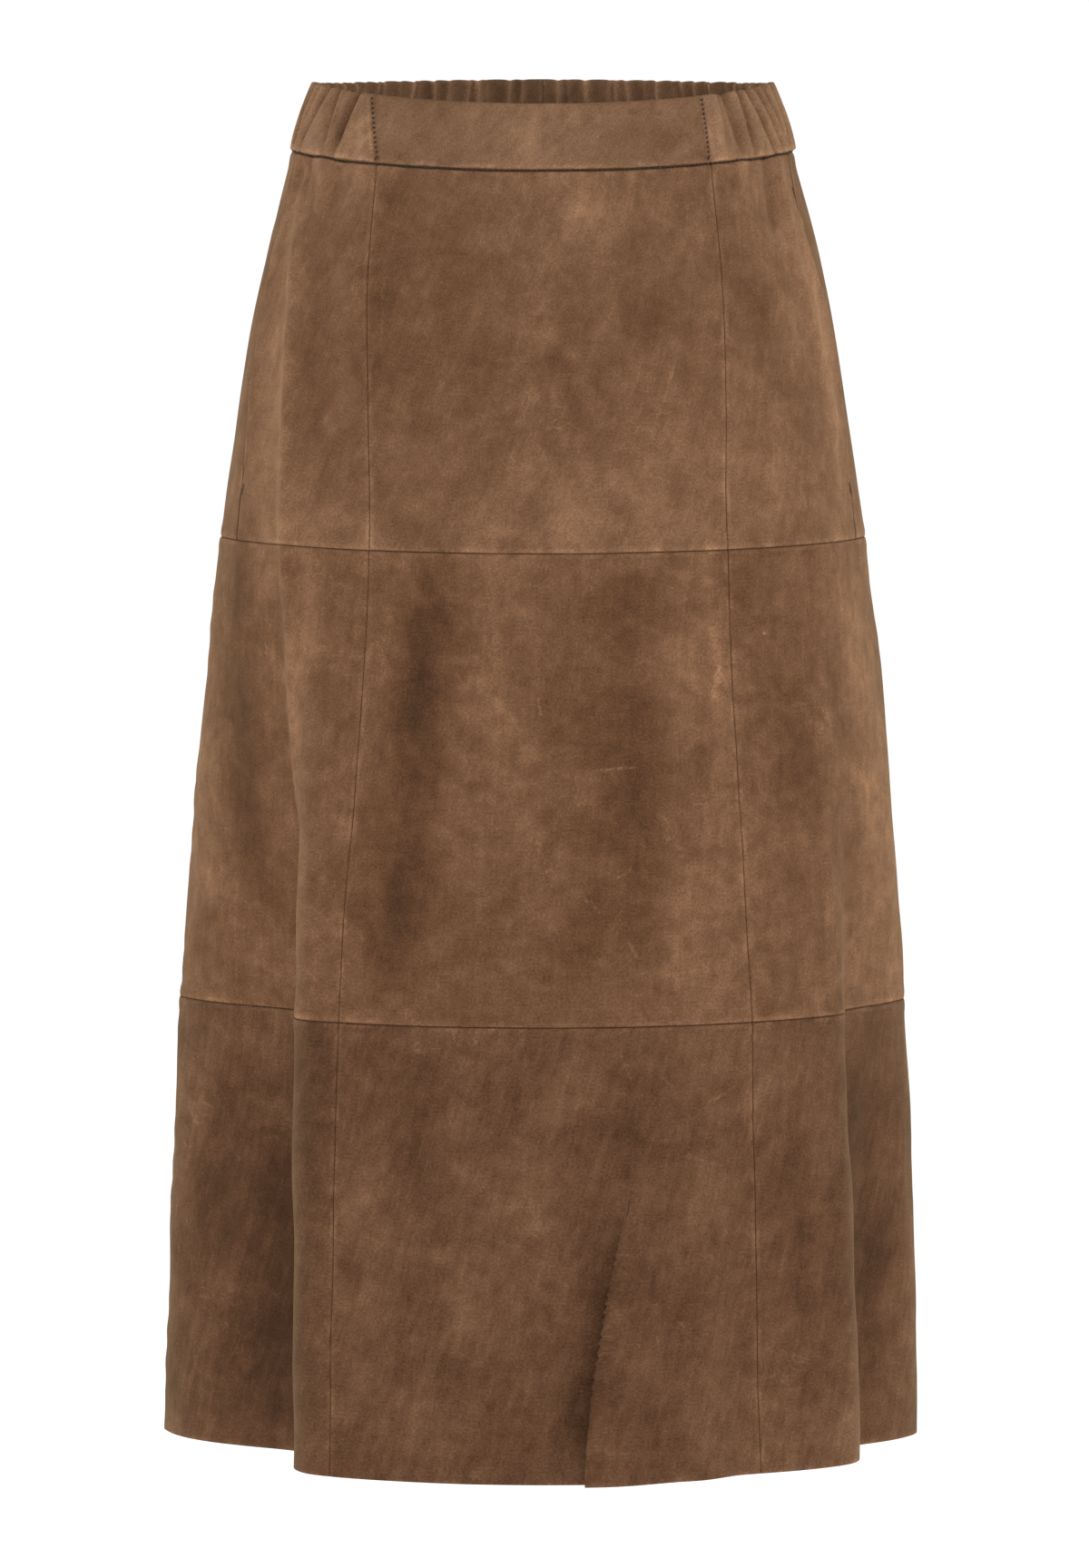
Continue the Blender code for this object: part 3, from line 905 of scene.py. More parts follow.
class Finishes:
    """Builds each material once."""

    def __init__(self) -> None:
        """Build the shared groups."""
        self.nap = nap_group()
        self.wear = seam_shading_group()
        self.scuff = scuff_group()
        self.made: dict[str, bpy.types.Material] = {}

    def of(self, finish: Suede | Thread | Lining) -> bpy.types.Material:
        """The material of a finish, made the first time that it is asked for."""
        if finish.slot not in self.made:
            material = bpy.data.materials.new(finish.slot)
            material.use_nodes = True
            shader = material.node_tree.nodes["Principled BSDF"]
            shader.inputs["Roughness"].default_value = finish.roughness
            dress = {Suede: self.suede, Thread: self.thread, Lining: self.lining}[type(finish)]
            dress(finish, Wiring(material.node_tree), shader)
            self.made[finish.slot] = material
        return self.made[finish.slot]

    def suede(self, hide: Suede, wiring: Wiring, shader: Node) -> None:
        """Brushed suede of one hide, with painted shade and light from the panels' attributes."""
        place = wiring.node("ShaderNodeUVMap", uv_map="cloth").outputs["UV"]
        nap = wiring.node("ShaderNodeGroup", node_tree=self.nap)
        wiring.set(nap, place=place, seed=hide.seed, brush_turn=hide.brush_turn)
        wiring.set(nap, mottle=hide.mottle, streak=hide.streak, veins=hide.veins)
        seam = wiring.node("ShaderNodeAttribute", attribute_name="seam")
        # the nap attribute carries the nap's patches with painted light and shade on creases, recesses
        # and gathers
        brushed = wiring.node("ShaderNodeAttribute", attribute_name="nap")
        # painted shadow in the seam grooves and painted highlight on the rolled edges
        wear = wiring.node("ShaderNodeGroup", node_tree=self.wear)
        wiring.set(wear, distance=seam.outputs["Fac"], place=place)
        tone = wiring.math("MULTIPLY_ADD", brushed.outputs["Fac"], hide.brushed, nap.outputs["Tone"])
        tone = wiring.math("ADD", tone, wear.outputs["Tone"])
        for scuff in SCUFFS[hide.slot]:
            mark = wiring.node("ShaderNodeGroup", node_tree=self.scuff)
            start, end = (
                (point[0] * PATTERN_PER_DEGREE, -point[1], 0.0) for point in (scuff.start, scuff.end)
            )
            wiring.set(mark, place=place, start=start, end=end, width=scuff.width, level=scuff.level)
            tone = wiring.math("ADD", tone, mark.outputs["Tone"])
        bright = wiring.math("EXPONENT", tone)
        colour = wiring.vector("SCALE", hide.colour, scale=bright)
        warm = wiring.node("ShaderNodeMix", data_type="RGBA", blend_type="MULTIPLY")
        # paler tone, nap and painted light alike, is greyer, and darker tone, nap and painted shade
        # alike, is redder
        shift = wiring.between(tone, -0.3, 0.3, 0.0, 1.0)
        ramp = wiring.node("ShaderNodeValToRGB")
        ramp.color_ramp.elements[0].color = (1.04, 0.98, 0.95, 1.0)
        ramp.color_ramp.elements[1].color = (0.98, 1.01, 1.04, 1.0)
        wiring.set(ramp, fac=shift)
        warm.inputs["Factor"].default_value = 1.0
        ends = {end.name: end for end in (*warm.inputs, *warm.outputs) if end.type == "RGBA"}
        wiring.tree.links.new(colour.outputs[0], ends["A"])
        wiring.tree.links.new(ramp.outputs["Color"], ends["B"])
        wiring.tree.links.new(ends["Result"], shader.inputs["Base Color"])
        wiring.bump(shader, nap.outputs["Height"], 0.55, 0.0006)
        for name, value in (
            ("Specular IOR Level", 0.06),
            ("Sheen Weight", hide.sheen),
            ("Sheen Roughness", 0.45),
            ("Sheen Tint", (0.9, 0.7, 0.4, 1.0)),
        ):
            shader.inputs[name].default_value = value

    def thread(self, thread: Thread, wiring: Wiring, shader: Node) -> None:
        """Twisted sewing thread."""
        place = wiring.node("ShaderNodeTexCoord").outputs["Object"]
        twist = wiring.node("ShaderNodeTexWave", wave_type="BANDS", bands_direction="DIAGONAL")
        wiring.set(twist, vector=place, scale=thread.twist, distortion=0.5)
        bright = wiring.math("MULTIPLY_ADD", twist.outputs["Fac"], 0.8, 0.6)
        wiring.base_colour(shader, thread.colour, bright)
        wiring.bump(shader, twist.outputs["Fac"], 0.4, 0.0001)

    def lining(self, lining: Lining, wiring: Wiring, shader: Node) -> None:
        """Plain woven pocket cloth, over and under."""
        cloth = wiring.node("ShaderNodeUVMap", uv_map="cloth").outputs["UV"]
        turns = wiring.vector("SCALE", cloth, scale=lining.threads_per_metre * math.pi)
        parts = wiring.node("ShaderNodeSeparateXYZ")
        wiring.set(parts, vector=turns.outputs[0])
        over = wiring.math("SINE", parts.outputs["X"])
        under = wiring.math("SINE", parts.outputs["Y"])
        weave = wiring.math("MULTIPLY", over, under)
        clouds = wiring.noise(cloth, 60.0, 3.0, 0.6, 0.0)
        bright = wiring.math("MULTIPLY_ADD", weave, 0.12, wiring.between(clouds, 0.3, 0.7, 0.85, 1.15))
        wiring.base_colour(shader, lining.colour, bright)
        wiring.bump(shader, weave, 0.5, 0.0002)


# ---------------------------------------------------------------- cloth pieces

SUEDE_THICKNESS = 0.0012
CELL_ROUND = 0.002
CELL_DOWN = 0.0032
EDGE_CELLS = (0.00012, 0.00023, 0.00035, 0.0005, 0.0008, 0.0012, 0.0018)
SEAM_OVERLAP = 0.00002  # how far each piece runs over its seams, so that no light shows between
TUCK = 0.0016  # how far the upper panels run up inside the band
NO_SEAM = 0.01  # a distance at which no seam shows
PUFF_PLACE = 0.004
PUFF_SPREAD = 0.0035
PUCKER_HEIGHT = 0.0003
PUCKER_LENGTH = 0.019
PUCKER_REACH = 0.012
PUCKER_START = 0.0015
PUCKER_SWELL = 5.3  # how many puckers pass while they grow and fade again
PUCKER_SHIFT = 0.3  # so that the puckers of opposite edges differ


@dataclass(frozen=True)
class Turning:
    """How cloth turns under at an edge: how far in, how deep, and the puff beside it."""

    reach: float
    depth: float
    puff: float
    pale: float = 0.0  # how far the seam's painted shadow in the groove stays off this edge's colour

    def lift(self, distance: Array) -> Array:
        """How far the outer face lies out of the cloth at a distance from the edge."""
        near = np.clip(1.0 - distance / self.reach, 0.0, 1.0)  # 1 beyond the edge too
        turned = -self.depth * (1.0 - np.sqrt(np.clip(1.0 - near * near, 0.0, 1.0)))
        return turned + self.puff * bell((distance - PUFF_PLACE) / PUFF_SPREAD)


class Edge(Enum):
    """The kinds of edge that a panel has."""

    # a negative pale widens the seam's painted shadow: under the band's foot and under a pocket's lip
    WAIST = Turning(0.0022, 0.0013, 0.0006, -0.0005)
    LEVEL = Turning(0.001, 0.00095, 0.0004, 0.0002)
    UPRIGHT = Turning(0.0008, 0.0006, 0.00032, 0.00034)
    LIP = Turning(0.0012, 0.0007, 0.0001, 0.0007)
    UNDER = Turning(0.004, 0.0012, 0.0, -0.0009)
    HEM = Turning(0.0004, 0.0002, 0.0, 0.0009)


def pucker(distance: Array, along: Array) -> Array:
    """The slight rucks that sewing draws into the cloth beside a seam."""
    wave = np.sin(2.0 * math.pi * along / PUCKER_LENGTH)
    slow = 0.5 + 0.5 * np.sin(2.0 * math.pi * along / (PUCKER_SWELL * PUCKER_LENGTH) + 1.0)
    reach = smooth_step(distance / PUCKER_START) * bell(distance / PUCKER_REACH)
    return PUCKER_HEIGHT * wave * slow * reach


@dataclass(frozen=True)
class Pocket:
    """A pocket's mouth in a side seam: the lip stands off the cloth behind it."""

    seam: Line
    top: float = 0.066
    bottom: float = 0.226
    lift: float = 0.0022
    reach: float = 5.0
    give: float = -0.3  # what the cloth behind moves out, as a share of the lip's lift

    def open_share(self, down: Array) -> Array:
        """How open the mouth is at each height, from 0 to 1."""
        middle, half = (self.top + self.bottom) / 2.0, (self.bottom - self.top) / 2.0
        return 1.0 - smooth_step((np.abs(down - middle) - 0.6 * half) / (0.4 * half))

    def lip(self, angle: Array, down: Array) -> Array:
        """How far the side front stands out near its pocket's mouth."""
        near = bell((angle - self.seam(down)) / self.reach)
        return self.lift * self.open_share(down) * near


@dataclass
class Panel:
    """One cut panel of suede between two seams, in one tier."""

    name: str
    left: Line
    right: Line
    top: float
    bottom: float
    hide: Suede
    flat: Pair
    hem: bool = False
    pocket: Pocket | None = None
    lip_side: int = 0  # which edge is the pocket's lip: 1 right, -1 left, 0 neither
    under_side: int = 0  # which edge lies under a pocket's lip
    fineness: float = 1.0  # how many times as fine its grid is

    def build(self, finishes: Finishes) -> Piece:
        """Make the panel: a flat slab of cloth, bent onto the skirt's form."""
        width = width_at(self.left, self.right, (self.top + self.bottom) / 2.0)
        height = self.bottom - self.top
        across = crowded_lines(width, CELL_ROUND / self.fineness, EDGE_CELLS)
        along = crowded_lines(height, CELL_DOWN / self.fineness, EDGE_CELLS)
        piece = flat_grid(self.name + "_suede", len(across) - 1, len(along) - 1)
        apply_modifier(piece, "SOLIDIFY", thickness=1.0, offset=-1.0)
        flat = places_of(piece)
        share_across, share_down = grid_shares(flat, across, along)
        inner = np.clip(-flat[:, 2], 0.0, 1.0)
        start = self.top - SEAM_OVERLAP
        if self.top == BAND_BOTTOM:
            start, height = start - TUCK, height + TUCK
        down = start + share_down * (height + SEAM_OVERLAP * (1 if self.hem else 2))
        left, right = self.left(down), self.right(down)
        overlap = SEAM_OVERLAP / FORM.per_degree((left + right) / 2.0, down)
        angle = left - overlap + share_across * (right - left + 2.0 * overlap)
        move_to(piece, self.place(angle, down, left, right, inner))
        seam = self.seam_distance(angle, down, left, right)
        write_attribute(piece, "seam", seam)
        write_attribute(piece, "nap", nap_tone_and_shading(angle, down))
        write_pattern_map(piece, angle, down)
        finish_cloth(piece, finishes.of(self.hide))
        put_on_frame(piece, self.name)
        return piece

    def edges(
        self, angle: Array, down: Array, left: Array, right: Array
    ) -> list[tuple[Turning, Array, Array]]:
        """The panel's four edges.

        Args:
            angle: turns from the centre front.
            down: distances down the side.
            left: the left seam's angle at each point's height.
            right: the right seam's angle there.

        Returns:
            For each edge, how it is turned, how far each point is from it, and how far along.
        """
        per_degree = FORM.per_degree(angle, down)
        round_ = angle * PATTERN_PER_DEGREE
        top = Edge.WAIST if self.top == BAND_BOTTOM else Edge.LEVEL
        foot = Edge.HEM if self.hem else Edge.LEVEL
        return [
            (self.pocket_edge(-1).value, (angle - left) * per_degree, down),
            (self.pocket_edge(1).value, (right - angle) * per_degree, down + PUCKER_SHIFT),
            (top.value, down - self.top, round_),
            (foot.value, self.bottom - down, round_ + PUCKER_SHIFT),
        ]

    def pocket_edge(self, side: int) -> Edge:
        """The kind of edge on one side: 1 for the right, -1 for the left."""
        if self.pocket is None or (self.lip_side or self.under_side) != side:
            return Edge.UPRIGHT
        return Edge.LIP if self.lip_side else Edge.UNDER

    def seam_distance(
        self, angle: Array, down: Array, left: Array, right: Array
    ) -> Array:
        """How far each point is from the nearest seam, as the finish reads it to paint the groove's
        shadow and the rolled edge's highlight.
        """
        nearest = np.ones_like(angle)
        for turning, distance, _ in self.edges(angle, down, left, right):
            nearest = np.minimum(nearest, distance + turning.pale)
        return nearest

    def place(
        self, angle: Array, down: Array, left: Array, right: Array, inner: Array
    ) -> Array:
        """Where the panel's points go.

        Args:
            angle: turns from the centre front.
            down: distances down the side.
            left: the left seam's angle at each point's height.
            right: the right seam's angle there.
            inner: 0 on the outer face, 1 on the inner.

        Returns:
            The points.
        """
        lift = relief(angle, down)
        roll = np.zeros_like(angle)
        for turning, distance, along in self.edges(angle, down, left, right):
            roll += turning.lift(distance)
            if turning is not Edge.HEM.value:
                lift += pucker(distance, along)
        roll = np.maximum(roll, -SUEDE_THICKNESS)
        if self.pocket is not None:
            lift += self.pocket.lip(angle, down) * (1.0 if self.lip_side else self.pocket.give)
        outward = lift + roll * (1.0 - inner) - SUEDE_THICKNESS * inner
        return FORM.point(angle, down) + FORM.axes(angle, down)[2] * outward[:, None]


@dataclass(frozen=True)
class Gather:
    """A valley that the elastic draws into the band."""

    top: float
    bottom: float
    depth: float
    width: float

    def depth_at(self, angle: Array, share: Array) -> Array:
        """How deep it is at each angle, and share of the band's height down."""
        line = self.top + (self.bottom - self.top) * share
        turn = (angle - line + 180.0) % 360.0 - 180.0
        return self.depth / np.cosh(1.8 * turn / self.width)


@dataclass
class BandPiece:
    """A stretch of the waistband: suede folded over at the top, closed at the foot."""

    name: str
    left: Line
    right: Line
    flat: Pair
    gathers: tuple[Gather, ...] = ()
    puff: float = 0.0006
    wall: float = 0.003
    proud: float = 0.0012
    cell: float = 0.0009
    end_cells: tuple[float, ...] = (0.0002, 0.0003, 0.0005, 0.0008)
    top_steps: int = 7
    face_steps: int = 15
    foot: float = 0.0009
    foot_pale: float = 0.0001
    end_pale: float = 0.0005
    weld: float = 0.00002
    held: float = 0.6  # how much flatter the stitches at the foot hold the gathers
    held_from: float = 0.6  # the share of the height below which they do
    deep: float = 0.002  # a gather deep enough for the full shade
    # outside, the ridges between gathers get painted light and the valleys painted shade; inside, painted
    # light lies over the gathers
    pale: float = 0.62
    shade: float = 0.3
    inner_painted_light: float = 0.46
    inner_pale: float = -0.02
    ease: float = 0.006  # the length at each end in which gathers and fullness die out
    end_round: float = 0.0009
    end_wall: float = 0.4
    sink: float = 0.18  # how far a gather draws down the top edge, as a share of its depth

    def section(self) -> Array:
        """The band's cross-section, round from the foot up the outer face and down inside.

        Returns:
            Rows of (out of the skirt's face, down, side), with side 1 outside, -1 inside.
        """
        half, foot = self.wall / 2.0, self.foot
        rows: list[tuple[float, float, float]] = []
        for step in range(self.top_steps + 1):
            turn = math.pi / 2.0 * (1.0 - step / self.top_steps)
            side = math.cos(turn)
            rows.append((half * side, BAND_BOTTOM - foot * (1.0 - math.sin(turn)), side))
        heights = np.linspace(BAND_BOTTOM - foot, half, self.face_steps + 2)[1:-1]
        rows += [(half, float(height), 1.0) for height in heights]
        inner = [(-out, down, -side) for out, down, side in reversed(rows)]
        for step in range(2 * self.top_steps + 1):
            turn = math.pi * step / (2.0 * self.top_steps)
            rows.append((half * math.cos(turn), half * (1.0 - math.sin(turn)), math.cos(turn)))
        return np.array(rows + inner)

    def build(self, finishes: Finishes) -> Piece:
        """Make the band piece and close its ends."""
        width = width_at(self.left, self.right, BAND_BOTTOM / 2.0)
        across = crowded_lines(width, self.cell, self.end_cells)
        section = self.section()
        piece = flat_grid(self.name + "_suede", len(across) - 1, len(section) - 1)
        flat = places_of(piece)
        column = np.rint((flat[:, 0] + 0.5) * (len(across) - 1)).astype(int)
        row = np.rint((flat[:, 1] + 0.5) * (len(section) - 1)).astype(int)
        offset, down, side = section[row, 0], section[row, 1], section[row, 2]
        left, right = self.left(down), self.right(down)
        overlap = SEAM_OVERLAP / FORM.per_degree((left + right) / 2.0, down)
        angle = left - overlap + across[column] * (right - left + 2.0 * overlap)
        move_to(piece, self.place(angle, down, offset, side, left, right))
        per_degree = FORM.per_degree(angle, down)
        # the band's seam distance places painted shadow in its end seams and under its foot, with painted
        # highlight beside them
        seam = np.minimum((angle - left) * per_degree, (right - angle) * per_degree)
        foot = np.where(side > 0.0, BAND_BOTTOM - down + self.foot_pale, NO_SEAM)
        write_attribute(piece, "seam", np.minimum(seam + self.end_pale, foot))
        write_attribute(piece, "nap", self.tone(angle, down, side))
        write_pattern_map(piece, angle, np.where(side > 0.0, down, -down))
        self.close(piece)
        finish_cloth(piece, finishes.of(SuedeColour.BAND.value))
        put_on_frame(piece, self.name)
        return piece

    def close(self, piece: Piece) -> None:
        """Join the section's two ends at the foot and close the piece's two ends."""
        select_only(piece)
        bpy.ops.object.mode_set(mode="EDIT")
        bpy.ops.mesh.select_all(action="SELECT")
        bpy.ops.mesh.remove_doubles(threshold=self.weld)
        bpy.ops.mesh.fill_holes(sides=0)
        bpy.ops.mesh.select_all(action="SELECT")
        bpy.ops.mesh.normals_make_consistent(inside=False)
        bpy.ops.object.mode_set(mode="OBJECT")

    def valley(self, angle: Array, down: Array) -> Array:
        """How deep the gathers are at each point."""
        share = down / BAND_BOTTOM
        depth = np.zeros_like(angle)
        for gather in self.gathers:
            depth = np.maximum(depth, gather.depth_at(angle, share))
        return depth * (1.0 - self.held * smooth_step((share - self.held_from) / (1.0 - self.held_from)))

    def tone(self, angle: Array, down: Array, side: Array) -> Array:
        """Painted shade darker deep in the gathers outside, painted light on the ridges between them, and
        painted light paler inside over the gathers.
        """
        valley = self.valley(angle, down)
        outside = self.pale - self.shade * valley / self.deep if self.gathers else np.zeros_like(valley)
        inside = self.inner_painted_light * valley / self.deep + self.inner_pale
        return np.where(side < 0.2, inside, outside)

    def place(
        self,
        angle: Array,
        down: Array,
        offset: Array,
        side: Array,
        left: Array,
        right: Array,
    ) -> Array:
        """Where the band's points go, by their place round its section."""
        per_degree = FORM.per_degree(angle, down)
        end = np.minimum((angle - left) * per_degree, (right - angle) * per_degree)
        ease = smooth_step(end / self.ease)
        share = down / BAND_BOTTOM
        swell = self.puff * np.sin(math.pi * np.clip(share, 0.0, 1.0)) ** 0.7
        valley = self.valley(angle, down) * ease
        beyond = np.clip(1.0 - end / self.end_round, 0.0, 1.0)
        round_end = np.sqrt(np.clip(1.0 - beyond**2, self.end_wall, 1.0))
        thick = offset * round_end + side * swell * ease
        fullness = self.puff * ease if self.gathers else 0.0
        outward = self.proud - self.wall / 2.0 + thick + fullness * 0.6
        outward = outward - valley * np.where(side > 0.0, 1.0, 0.95)
        along = angle * PATTERN_PER_DEGREE
        uneven = 0.00025 * np.sin(2.0 * math.pi * along / 0.043 + 1.0)
        uneven += 0.00018 * np.sin(2.0 * math.pi * along / 0.017 + 40.0 * down)
        sunk = np.where(share < 0.5, valley * self.sink, 0.0)
        point = FORM.point(angle, down + sunk)
        return point + FORM.axes(angle, down)[2] * (outward + uneven * ease)[:, None]


@dataclass(frozen=True)
class Elastic:
    """How the elastic gathers the band where its gathers aren't placed one by one."""

    start: float = 79.0  # degrees round from the centre front, on both sides
    clear: float = 1.5  # degrees left plain beside the centre back
    step: float = 4.0
    wander: float = 1.2
    lean: float = 0.9
    depth: float = 0.0034
    depth_swing: float = 0.0016
    width: float = 1.15

    def gathers(self, side: int, shown: Sequence[Gather]) -> tuple[Gather, ...]:
        """The gathers of one stretch, uneven in step, lean and depth.

        Args:
            side: 1 for the right, -1 for the left.
            shown: the gathers near the front, placed one by one.

        Returns:
            All the stretch's gathers.
        """
        found = list(shown)
        angle, index = self.start, 0
        while angle < CENTRE_BACK - self.clear:
            wander = math.sin(2.4 * index + side) + 0.6 * math.sin(5.1 * index + 2.0 * side)
            lean = self.lean * math.sin(1.7 * index + 0.5 * side)
            depth = self.depth + self.depth_swing * math.sin(3.7 * index + 1.3 * side)
            found.append(Gather(side * (angle + lean), side * (angle - lean), depth, self.width))
            angle += self.step + self.wander * wander
            index += 1
        return tuple(found)


@dataclass
class Waistband:
    """The band: a flat front piece and two elasticated stretches that meet behind."""

    front_cut: Pair = (0.205, 0.041)
    back_cut: Pair = (0.4, 0.041)
    back_puff: float = 0.0014
    left_gathers: tuple[Gather, ...] = (
        Gather(-50.0, -47.0, 0.0007, 1.2),
        Gather(-53.0, -55.6, 0.0062, 1.8),
        Gather(-57.2, -57.8, 0.0014, 0.9),
        Gather(-60.6, -59.8, 0.003, 1.3),
        Gather(-66.5, -74.0, 0.006, 1.4),
        Gather(-72.5, -79.0, 0.0024, 0.9),
    )
    right_gathers: tuple[Gather, ...] = (
        Gather(48.2, 46.2, 0.0016, 1.00),
        Gather(50.6, 51.2, 0.004, 1.9),
        Gather(56.6, 56.0, 0.0036, 1.2),
        Gather(61.0, 66.4, 0.005, 1.3),
        Gather(66.0, 71.5, 0.004, 1.1),
        Gather(70.5, 76.5, 0.005, 1.1),
    )

    def build(self, finishes: Finishes) -> list[Piece]:
        """Make the band's three pieces."""
        elastic = Elastic()
        left = elastic.gathers(-1, self.left_gathers)
        right = elastic.gathers(1, self.right_gathers)
        seams = (upright(-CENTRE_BACK), BAND_SEAM_LEFT, BAND_SEAM_RIGHT, upright(CENTRE_BACK))
        pieces = (
            BandPiece("waistband_front", *seams[1:3], self.front_cut),
            BandPiece("waistband_back_left", *seams[:2], self.back_cut, left, self.back_puff),
            BandPiece("waistband_back_right", *seams[2:], self.back_cut, right, self.back_puff),
        )
        return [piece.build(finishes) for piece in pieces]


@dataclass
class PocketBag:
    """A flat bag of lining inside a side front, sewn in along the pocket's mouth."""

    name: str
    seam: Line
    first: float
    last: float
    top: float = 0.046
    bottom: float = 0.3
    straight: float = 0.5
    rounding: float = 0.45
    wall: float = 0.0016
    clearance: float = 0.0044
    swell: float = 0.0008
    rumple: float = 0.0008
    edge: float = 0.012  # the flat border that the seam holds
    size: Pair = (0.08, 0.25)
    cut: Pair = (0.088, 0.258)
    cut_share: float = 0.8

    def build(self, finishes: Finishes) -> Piece:
        """Make the bag: two layers that lie close together."""
        piece = flat_grid(self.name + "_cloth", 30, 60)
        apply_modifier(piece, "SOLIDIFY", thickness=1.0, offset=-1.0)
        flat = places_of(piece)
        across, share = flat[:, 0] + 0.5, 0.5 - flat[:, 1]
        inner = np.clip(-flat[:, 2], 0.0, 1.0)
        down = self.top + (self.bottom - self.top) * share
        foot = np.clip((share - self.straight) / (1.0 - self.straight), 0.0, 1.0)
        narrowing = 1.0 - self.rounding * foot * foot
        angle = self.seam(down) + (self.first + (self.last - self.first) * across) * narrowing
        width, height = self.size
        edge = np.minimum(np.minimum(across, 1.0 - across) * width, (1.0 - share) * height)
        loose = smooth_step(edge / self.edge)
        rumple = self.rumple * np.sin(120.0 * down + 0.3 * angle) * loose
        depth = self.clearance + inner * (self.wall + self.swell * loose) + rumple
        move_to(piece, FORM.point(angle, down) - FORM.axes(angle, down)[2] * depth[:, None])
        write_pattern_map(piece, angle, down)
        finish_cloth(piece, finishes.of(Lining()))
        put_on_frame(piece, self.name)
        return piece


@dataclass
class Tiers:
    """The fifteen suede panels, five to a tier."""

    left_pocket: Pocket = Pocket(POCKET_SEAM_LEFT)
    right_pocket: Pocket = Pocket(POCKET_SEAM_RIGHT)

    def panels(self) -> list[Panel]:
        """The panels with their seams, hides and cuts."""
        tiers = (
            ("upper", BAND_BOTTOM, UPPER_BOTTOM, SuedeColour.UPPER.value),
            ("middle", UPPER_BOTTOM, MIDDLE_BOTTOM, SuedeColour.MIDDLE.value),
            ("lower", MIDDLE_BOTTOM, HEM, SuedeColour.LOWER.value),
        )
        cuts = {
            "upper": ((0.195, 0.24), (0.108, 0.235), (0.305, 0.235)),
            "middle": ((0.215, 0.275), (0.2, 0.275), (0.3, 0.275)),
            "lower": ((0.245, 0.262), (0.23, 0.262), (0.33, 0.262)),
        }
        found = []
        for tier, top, bottom, hide in tiers:
            centre, side, back = cuts[tier]
            hem = tier == "lower"
            upper = tier == "upper"
            side_left = POCKET_SEAM_LEFT if upper else upright(-SIDE)
            side_right = POCKET_SEAM_RIGHT if upper else upright(SIDE)
            left_pocket = self.left_pocket if upper else None
            right_pocket = self.right_pocket if upper else None
            rows = (
                (f"front_centre_{tier}", PRINCESS_LEFT, PRINCESS_RIGHT, centre, None, 0, 0),
                (f"front_side_left_{tier}", side_left, PRINCESS_LEFT, side, left_pocket, -1, 0),
                (f"front_side_right_{tier}", PRINCESS_RIGHT, side_right, side, right_pocket, 1, 0),
                (f"back_left_{tier}", upright(-CENTRE_BACK), side_left, back, left_pocket, 0, 1),
                (f"back_right_{tier}", side_right, upright(CENTRE_BACK), back, right_pocket, 0, -1),
            )
            for name, left, right, cut, pocket, lip, under in rows:
                fine = 2.0 if name == "front_centre_lower" else 1.0
                panel = Panel(name, left, right, top, bottom, hide, cut, hem, pocket, lip, under, fine)
                found.append(panel)
        return found

    def build(self, finishes: Finishes) -> list[Piece]:
        """Make every panel."""
        return [panel.build(finishes) for panel in self.panels()]


# ---------------------------------------------------------------- stitches


@dataclass(frozen=True)
class Stitch:
    """Where one stitch lies: its middle on the cloth, its turn, length and lift."""

    angle: float
    down: float
    turn: float
    length: float
    lift: float


@dataclass
class StitchRow:
    """Stitches of one thread, as one joined mesh."""

    name: str
    stitches: tuple[Stitch, ...]
    thread_radius: float
    sides: int = 8
    rings: int = 6

    def template(self) -> bpy.types.Mesh:
        """One stitch, a unit long, with ends that dive into the cloth."""
        select_nothing()
        bpy.ops.mesh.primitive_uv_sphere_add(segments=self.sides, ring_count=self.rings, radius=0.5)
        stitch = bpy.context.object
        bpy.ops.object.mode_set(mode="EDIT")
        bpy.ops.mesh.select_all(action="SELECT")
        bpy.ops.transform.rotate(value=math.pi / 2.0, orient_axis="Y", center_override=(0.0, 0.0, 0.0))
        bpy.ops.object.mode_set(mode="OBJECT")
        mesh = stitch.data
        bpy.data.objects.remove(stitch)
        return mesh

    def build(self, finishes: Finishes) -> Piece:
        """Copy the stitch along the row and join the copies."""
        template = self.template()
        angle = np.array([stitch.angle for stitch in self.stitches])
        down = np.array([stitch.down for stitch in self.stitches])
        middle = FORM.point(angle, down)
        across, below, out = FORM.axes(angle, down)
        lift = relief(angle, down)
        joined = bmesh.new()
        for index, stitch in enumerate(self.stitches):
            turn = math.radians(stitch.turn)
            along = across[index] * math.cos(turn) + below[index] * math.sin(turn)
            beside = np.cross(out[index], along)
            seat = middle[index] + out[index] * (lift[index] + stitch.lift)
            size = 2.0 * self.thread_radius
            place = Matrix.Identity(4)
            for column, (way, length) in enumerate(
                ((along, stitch.length), (beside, size), (out[index], size))
            ):
                for row in range(3):
                    place[row][column] = way[row] * length
            place.translation = Vector(seat)
            before = len(joined.verts)
            joined.from_mesh(template)
            joined.verts.ensure_lookup_table()
            bmesh.ops.transform(joined, matrix=place, verts=joined.verts[before:])
        mesh = bpy.data.meshes.new(self.name)
        joined.to_mesh(mesh)
        joined.free()
        piece = bpy.data.objects.new(self.name, mesh)
        bpy.context.scene.collection.objects.link(piece)
        finish_cloth(piece, finishes.of(Thread()))
        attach(piece, "root")
        LOG.info("%s: %d stitches", self.name, len(self.stitches))
        return piece


